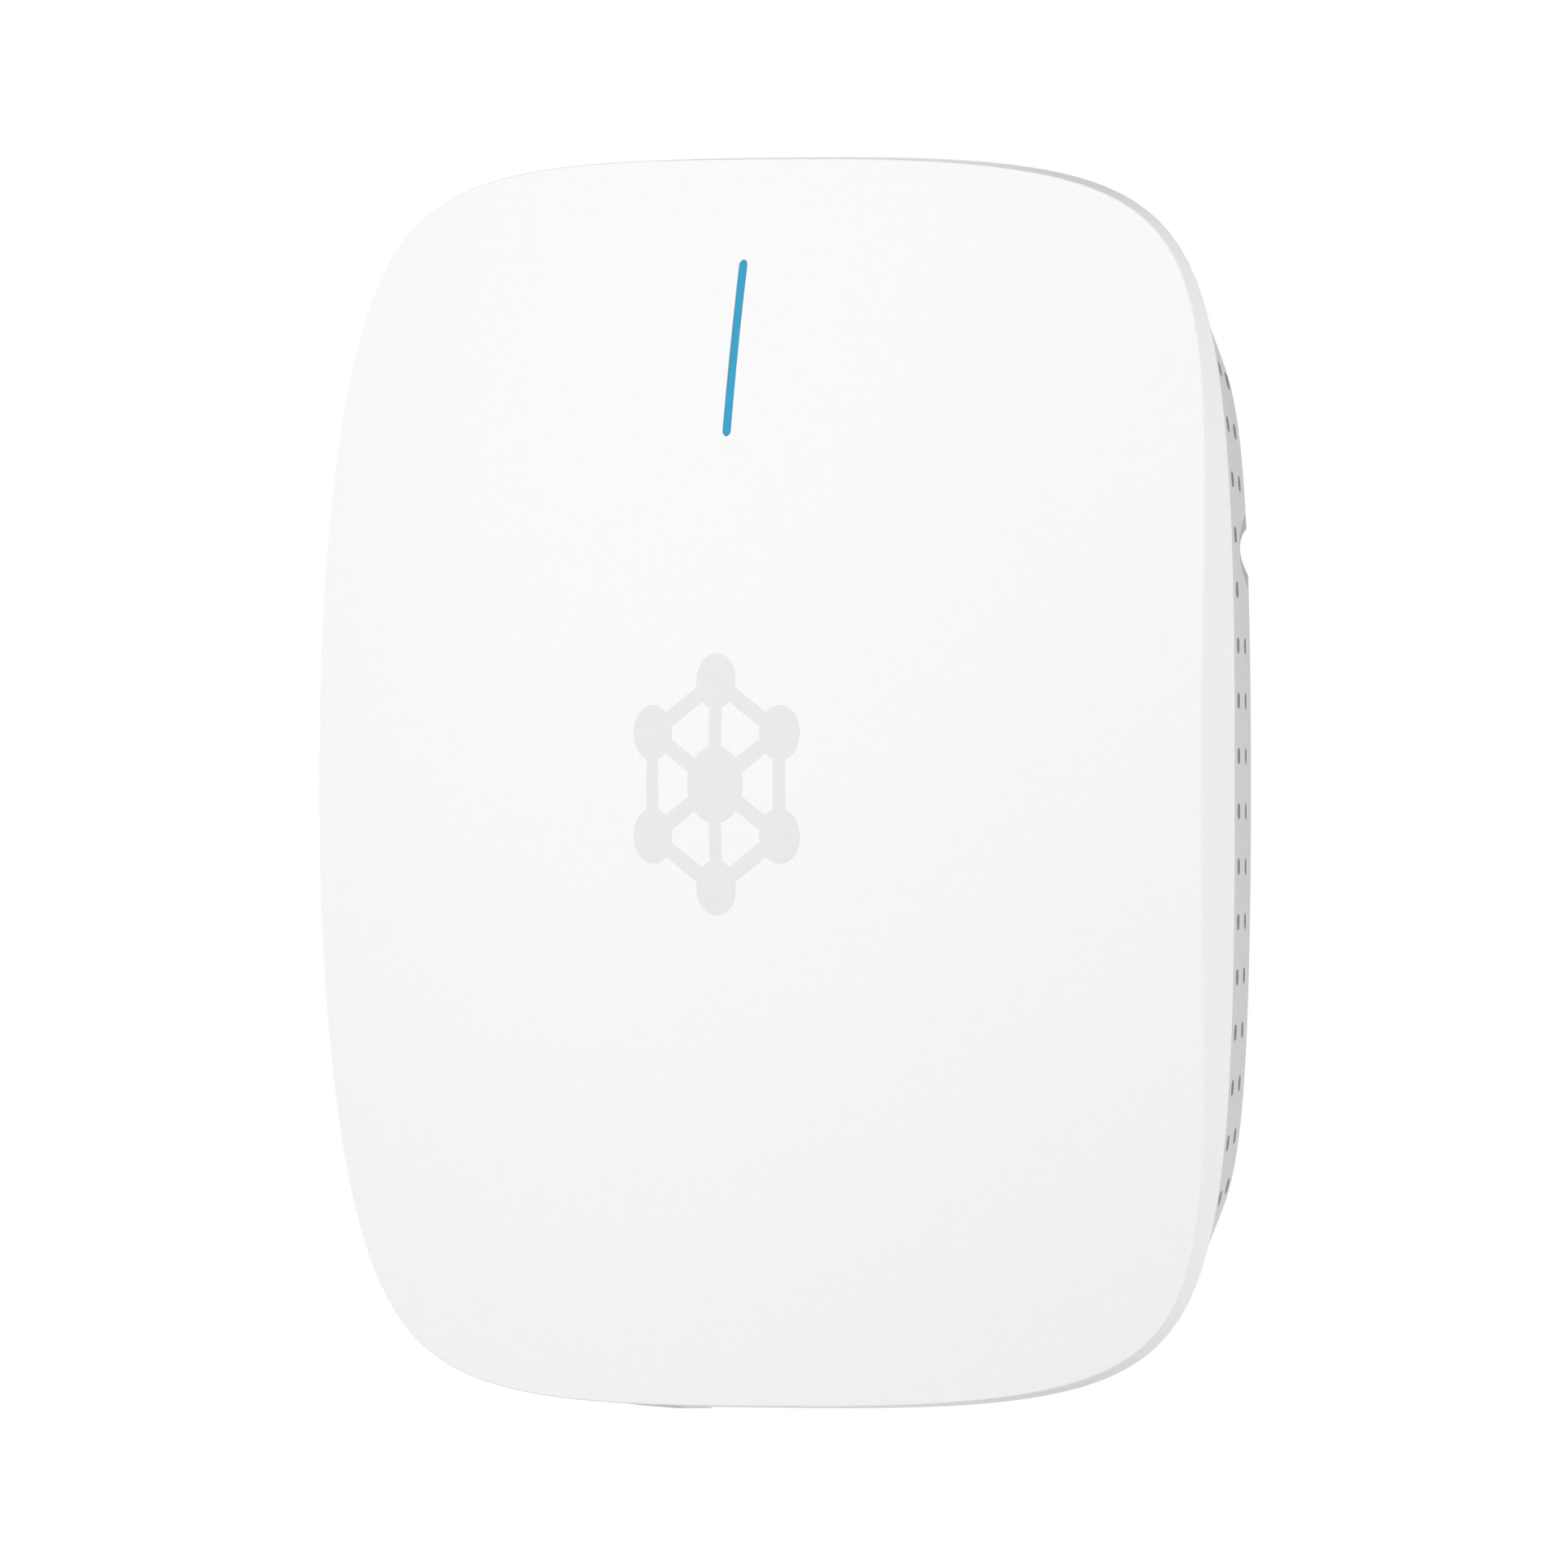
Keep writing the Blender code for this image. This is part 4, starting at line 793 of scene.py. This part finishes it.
def label_print():
    """Blank printed frame and rules on the rating label: no words."""
    low, high = label_low, label_high
    front, back = high.y - 0.02 * MM, high.y + 0.02 * MM
    edge, line = 1.2 * MM, 0.25 * MM
    frame_ink = plate(round_rect(low.x + edge, low.z + edge, high.x - edge, high.z - edge, 1.2 * MM), "y",
                      front, back)
    inner = edge + line
    cut(frame_ink, plate(round_rect(low.x + inner, low.z + inner, high.x - inner, high.z - inner, 1.0 * MM), "y",
                         front - 1 * MM, back + 1 * MM))
    for z in (low.z + 12 * MM, low.z + 26 * MM, low.z + 40 * MM):
        fuse(frame_ink, block((low.x + edge + line / 2, front, z), (high.x - edge - line / 2, back, z + line)))
    return frame_ink


# ---------------------------------------------------------------- materials of each slot

def light_lens():
    """Blue lit lens: satin surface with a faintly uneven tone, and a weak glow of its own."""
    m = Nodes("light_blue", (0.016, 0.28, 0.475), 0.4)
    glow = m.noise(1 / (6 * MM), 2.0)
    m.colour(m.ramp(glow, 0.3, 0.7, (0.015, 0.27, 0.46), (0.017, 0.288, 0.49)))
    m.shader.inputs["Emission Color"].default_value = (0.06, 0.39, 0.64, 1.0)
    m.shader.inputs["Emission Strength"].default_value = 0.12
    m.shader.inputs["Specular IOR Level"].default_value = 0.2
    m.normal(m.bump(m.noise(1 / (0.5 * MM)), 0.003 * MM, 0.5))
    return m


def circuit_board():
    """Solder mask over copper: straight tracks show as a lighter green, with scattered pale pads."""
    m = Nodes("board_green", (0.02, 0.13, 0.06), 0.3)
    tracks = m.tree.nodes.new("ShaderNodeTexBrick")
    tracks.inputs["Scale"].default_value = 1 / (3.2 * MM)
    tracks.inputs["Mortar Size"].default_value = 0.08
    tracks.inputs["Brick Width"].default_value = 1.7
    tracks.inputs["Row Height"].default_value = 0.45
    turn = m.tree.nodes.new("ShaderNodeMapping")
    turn.inputs["Rotation"].default_value = (pi / 2, 0, 0)
    m.link(m.coordinates, turn, "Vector")
    m.link(turn.outputs["Vector"], tracks, "Vector")
    copper = m.ramp(tracks.outputs["Fac"], 0.2, 0.8, (0.012, 0.1, 0.045), (0.03, 0.2, 0.09))
    pads = m.ramp(m.cells(1 / (2.6 * MM)), 0.13, 0.17, (0.55, 0.5, 0.4), (0.0, 0.0, 0.0))
    m.colour(m.mix(m.span(m.noise(1 / (8 * MM)), 0.0, 0.25), copper, pads, "ADD"))
    m.roughness(m.span(m.noise(1 / (0.8 * MM)), 0.25, 0.42))
    m.normal(m.bump(tracks.outputs["Fac"], 0.02 * MM, 0.6))
    return m


def moulded_chip():
    """Black epoxy package with its sanded top."""
    return moulded_plastic("chip_black", (0.018, 0.018, 0.02), 0.55, 0.2 * MM, 0.004 * MM, 0.25)


def thermal_putty():
    """Filled silicone pad: grey-blue with pale grains and a soft, dimpled skin."""
    m = Nodes("pad_grey", (0.3, 0.33, 0.38), 0.85)
    m.colour(m.ramp(m.cells(1 / (0.35 * MM)), 0.1, 0.6, (0.42, 0.45, 0.5), (0.26, 0.29, 0.34)))
    m.roughness(m.span(m.noise(1 / (2 * MM)), 0.75, 0.95))
    m.normal(m.bump(m.noise(1 / (1.1 * MM), 4.0), 0.05 * MM, 0.7))
    return m


def lamp_package():
    """Yellow phosphor behind a clear face, paler towards the rim."""
    m = Nodes("led_package", (0.85, 0.78, 0.42), 0.25)
    m.colour(m.ramp(m.cells(1 / (1.6 * MM)), 0.25, 0.6, (0.86, 0.72, 0.22), (0.9, 0.9, 0.86)))
    m.roughness(m.span(m.noise(1 / (0.6 * MM)), 0.2, 0.35))
    m.shader.inputs["Coat Weight"].default_value = 0.4
    return m


def flat_flex():
    """Amber film with copper strips along it."""
    m = Nodes("flex_amber", (0.45, 0.2, 0.03), 0.3)
    stripes = m.tree.nodes.new("ShaderNodeTexWave")
    stripes.bands_direction = "X"
    stripes.inputs["Scale"].default_value = 1 / (7 * MM)
    stripes.inputs["Distortion"].default_value = 0.0
    m.link(m.coordinates, stripes, "Vector")
    m.colour(m.ramp(stripes.outputs["Fac"], 0.35, 0.6, (0.42, 0.17, 0.02), (0.62, 0.33, 0.1)))
    m.roughness(m.span(m.noise(1 / (3 * MM)), 0.25, 0.4))
    m.normal(m.bump(stripes.outputs["Fac"], 0.03 * MM, 0.5))
    return m


def sintered_ferrite():
    """Dark, finely grained ceramic of the inductor."""
    m = Nodes("ferrite", (0.06, 0.06, 0.065), 0.7)
    grains = m.cells(1 / (0.25 * MM))
    m.colour(m.ramp(grains, 0.1, 0.7, (0.1, 0.1, 0.105), (0.04, 0.04, 0.045)))
    m.roughness(m.span(m.noise(1 / (1.5 * MM)), 0.55, 0.8))
    m.normal(m.bump(grains, 0.02 * MM, 0.6))
    return m


def satin_film(name, colour, roughness=0.35):
    """Printed polyester label: slight orange peel and a coat."""
    m = Nodes(name, colour, roughness)
    m.colour(m.ramp(m.noise(1 / (2 * MM), 3.0), 0.3, 0.7, tinted(colour, 0.99), tinted(colour, 1.01)))
    m.roughness(m.span(m.noise(1 / (1.2 * MM)), roughness - 0.05, roughness + 0.1))
    m.normal(m.bump(m.noise(1 / (1.6 * MM)), 0.004 * MM, 0.6))
    m.shader.inputs["Coat Weight"].default_value = 0.2
    return m


finishes = {
    "cover_white": moulded_plastic("cover_white", (0.86, 0.86, 0.86), 0.5),
    # The housing's white is darker than the cover's (0.72 against 0.86): painted shade. The lower value stands for the
    # shade on the housing's sloping wall, not for a different plastic.
    "housing_white": moulded_plastic("housing_white", (0.72, 0.72, 0.72), 0.55),
    "light_blue": light_lens(),
    "black_plastic": moulded_plastic("black_plastic", (0.022, 0.022, 0.023), 0.45, 0.3 * MM, 0.006 * MM, 0.15),
    "board_green": circuit_board(),
    "tinned_steel": sheet_metal("tinned_steel", (0.62, 0.62, 0.6), 0.3, "x"),
    "zinc_plated_steel": sheet_metal("zinc_plated_steel", (0.5, 0.51, 0.52), 0.5, "z",
                                     tint=(0.46, 0.48, 0.51)),
    "spring_steel": sheet_metal("spring_steel", (0.48, 0.48, 0.49), 0.28, "z", tint=(0.46, 0.45, 0.44)),
    "aluminium": sheet_metal("aluminium", (0.76, 0.76, 0.77), 0.42, "z"),
    "chip_black": moulded_chip(),
    "pad_grey": thermal_putty(),
    "antenna_brass": sheet_metal("antenna_brass", (0.72, 0.55, 0.3), 0.32, "x", tint=(0.62, 0.44, 0.22)),
    "led_package": lamp_package(),
    "flex_amber": flat_flex(),
    "ferrite": sintered_ferrite(),
    "label_film": satin_film("label_film", (0.8, 0.8, 0.8)),
}
emblem_ink = satin_film("emblem_ink", (0.735, 0.735, 0.735), 0.5)
# Dark grey with little specular for the sheets just inside the vent slots: painted shade, standing for the shade deep
# inside the slots
vent_shade_grey = moulded_plastic("vent_shade_grey", (0.26, 0.26, 0.26), 0.9, 0.25 * MM, 0.02 * MM, 0.2)
vent_shade_grey.shader.inputs["Specular IOR Level"].default_value = 0.1
# Darker grey of the rim round the cable notch: painted shade for the shading round the notch's edge
notch_shade_grey = moulded_plastic("notch_shade_grey", (0.5, 0.5, 0.5), 0.6)
label_ink = satin_film("label_ink", (0.2, 0.2, 0.21), 0.5)
contact_gold = sheet_metal("contact_gold", (0.95, 0.72, 0.32), 0.22, "x", tint=(0.9, 0.66, 0.26))


# ---------------------------------------------------------------- build

slots = {entry["node"]: entry["material_slot"] for entry in frame["record"]["subparts"]}
bodies = frame["record"]["behaviour"]["bodies"]
body_of_node = {node: body for body, nodes in bodies.items() for node in nodes}
finished = set()


def stand_in(obj, node, name, smooth_angle=32.0):
    """Finished piece that replaces one CAD node, with the node's own body and the finish of its slot."""
    slot = slots[node]
    finished.add(node)
    return piece(obj, name, finishes[slot].material, body_of_node[node], slot, (node,), smooth_angle)


def extra(obj, name, material, slot, smooth_angle=32.0):
    """Finished piece of the body that stands for no node."""
    return piece(obj, name, material.material, "access_point", slot, (), smooth_angle)


stand_in(cover_shell(), "front_cover", "cover_shell", 24)
stand_in(light_bar(), "light_pipe", "light_bar", 50)
stand_in(housing_shell(), "rear_housing", "housing_shell", 24)
extra(emblem(), "emblem", emblem_ink, "label_film")
# Thin dark sheets just inside the vent slots: painted shade that makes the slots read dark
shade_sheets = vents(((-1.6 * MM, -0.03 * MM), (-0.07 * MM, -0.03 * MM)), "vent_shade_sheets")
extra(shade_sheets, "vent_shade_sheets", vent_shade_grey, "black_plastic")
# Flush rim of painted shade round the cable notch
extra(notch_shade_rim(), "notch_shade_rim", notch_shade_grey, "housing_white", 24)

stand_in(softened_copy("wall_bracket", 0.22 * MM), "wall_bracket", "bracket_sheet")
stand_in(softened_copy("latch_spring", 0.09 * MM), "latch_spring", "latch_leaf")
for number in (1, 2):
    stand_in(rivet(f"latch_rivet_{number}"), f"latch_rivet_{number}", f"rivet_{number}")
for number in range(1, 5):
    stand_in(case_screw(f"case_screw_{number}"), f"case_screw_{number}", f"screw_{number}")

stand_in(softened_copy("ethernet_jack", 0.2 * MM), "ethernet_jack", "jack_shield")
extra(jack_liner(), "jack_liner", finishes["black_plastic"], "black_plastic")
extra(jack_contacts(), "jack_contacts", contact_gold, "antenna_brass", 60)
stand_in(softened_copy("dc_jack", 0.2 * MM), "dc_jack", "power_inlet")
extra(power_pin(), "power_pin", finishes["tinned_steel"], "tinned_steel")
stand_in(softened_copy("reset_button", 0.12 * MM), "reset_button", "reset_cap")
extra(label_print(), "label_print", label_ink, "label_film")

# Boards, cans and other inner pieces: their own shapes with softened edges
EDGE_WIDTHS = {"tinned_steel": 0.18 * MM, "antenna_brass": 0.12 * MM, "pad_grey": 0.3 * MM,
               "aluminium": 0.25 * MM, "flex_amber": 0.05 * MM, "board_green": 0.08 * MM}
for node in sorted(set(slots) - finished):
    width = EDGE_WIDTHS.get(slots[node], 0.12 * MM)
    stand_in(softened_copy(node, width), node, f"fine_{node}")

# ---------------------------------------------------------------- floor, light, camera

FLOOR_Z, FLOOR_HALF, FLOOR_THICKNESS = -0.26, 1.5, 0.002
floor = plate(round_rect(-FLOOR_HALF, -FLOOR_HALF, FLOOR_HALF, FLOOR_HALF, 0.2), "z", FLOOR_Z - FLOOR_THICKNESS,
              FLOOR_Z)
floor.name = "floor"
PALE = (0.85, 0.85, 0.85)
paper = Nodes("floor", PALE, 0.7)
paper.colour(paper.ramp(paper.noise(1 / (60 * MM), 2.0), 0.3, 0.7, tinted(PALE, 0.99), tinted(PALE, 1.01)))
paper.roughness(paper.span(paper.noise(1 / (4 * MM)), 0.65, 0.75))
paper.normal(paper.bump(paper.noise(1 / (1.5 * MM)), 0.02 * MM, 0.3))
floor.data.materials.append(paper.material)

scene = bpy.context.scene
scene.view_settings.view_transform = "Standard"
scene.view_settings.look = "None"

# The background is seen as plain white, and lights the scene less than that
SEEN_STRENGTH, AMBIENT_STRENGTH = 1.0, 0.36
world = bpy.data.worlds.new("studio")
scene.world = world
world.use_nodes = True
tree = world.node_tree
tree.nodes.clear()
output = tree.nodes.new("ShaderNodeOutputWorld")
mixer = tree.nodes.new("ShaderNodeMixShader")
ray = tree.nodes.new("ShaderNodeLightPath")
seen, lit = tree.nodes.new("ShaderNodeBackground"), tree.nodes.new("ShaderNodeBackground")
seen.inputs["Color"].default_value = (1, 1, 1, 1)
seen.inputs["Strength"].default_value = SEEN_STRENGTH
lit.inputs["Color"].default_value = (1, 1, 1, 1)
lit.inputs["Strength"].default_value = AMBIENT_STRENGTH
tree.links.new(ray.outputs["Is Camera Ray"], mixer.inputs[0])
tree.links.new(lit.outputs[0], mixer.inputs[1])
tree.links.new(seen.outputs[0], mixer.inputs[2])
tree.links.new(mixer.outputs[0], output.inputs[0])


def softbox(name, azimuth, elevation, distance, size, watts, target=Vector((0, -0.02, 0))):
    """Square area light that faces its target. Azimuth 0 is in front, 90 on the right, in degrees."""
    data = bpy.data.lights.new(name, "AREA")
    data.shape = "SQUARE"
    data.size = size
    data.energy = watts
    light = bpy.data.objects.new(name, data)
    bpy.context.collection.objects.link(light)
    a, e = radians(azimuth), radians(elevation)
    back = Vector((sin(a) * cos(e), -cos(a) * cos(e), sin(e)))
    light.location = target + back * distance
    light.rotation_euler = back.to_track_quat("Z", "Y").to_euler()


softbox("front", -8, 12, 1.2, 0.7, 2.4)
softbox("front_high", 0, 40, 1.2, 0.7, 5.65)
softbox("left", -45, 5, 1.2, 0.7, 2.4)
softbox("right_near", 80, 0, 0.6, 0.5, 0.5, Vector((0, -0.02, 0.1)))
softbox("right_rear", 110, 3, 1.2, 0.7, 4.8)
softbox("behind", 232, 4, 1.2, 0.7, 4.0)

# View turned 45 degrees, level, through a very long lens
VIEW_AZIMUTH = radians(45)
VIEW_DISTANCE = 115 * BODY_HALF
FRAME_WIDTH = 2.5148 * BODY_HALF                # width of the view at the parting plane's centre
VIEW_RIGHT, VIEW_DOWN = 0.98 * MM, 0.19 * MM    # how far the body's centre lies right of and above the view's
back = Vector((sin(VIEW_AZIMUTH), -cos(VIEW_AZIMUTH), 0))
right = Vector((cos(VIEW_AZIMUTH), sin(VIEW_AZIMUTH), 0))
target = Vector((0, PARTING_Y, -VIEW_DOWN)) - right * VIEW_RIGHT
camera_data = bpy.data.cameras.new("camera")
camera_data.angle = 2 * atan(FRAME_WIDTH / 2 / VIEW_DISTANCE)
camera_data.clip_start, camera_data.clip_end = 0.1, 60.0     # metres
camera = bpy.data.objects.new("camera", camera_data)
bpy.context.collection.objects.link(camera)
camera.location = target + back * VIEW_DISTANCE
camera.rotation_euler = back.to_track_quat("Z", "Y").to_euler()
scene.camera = camera
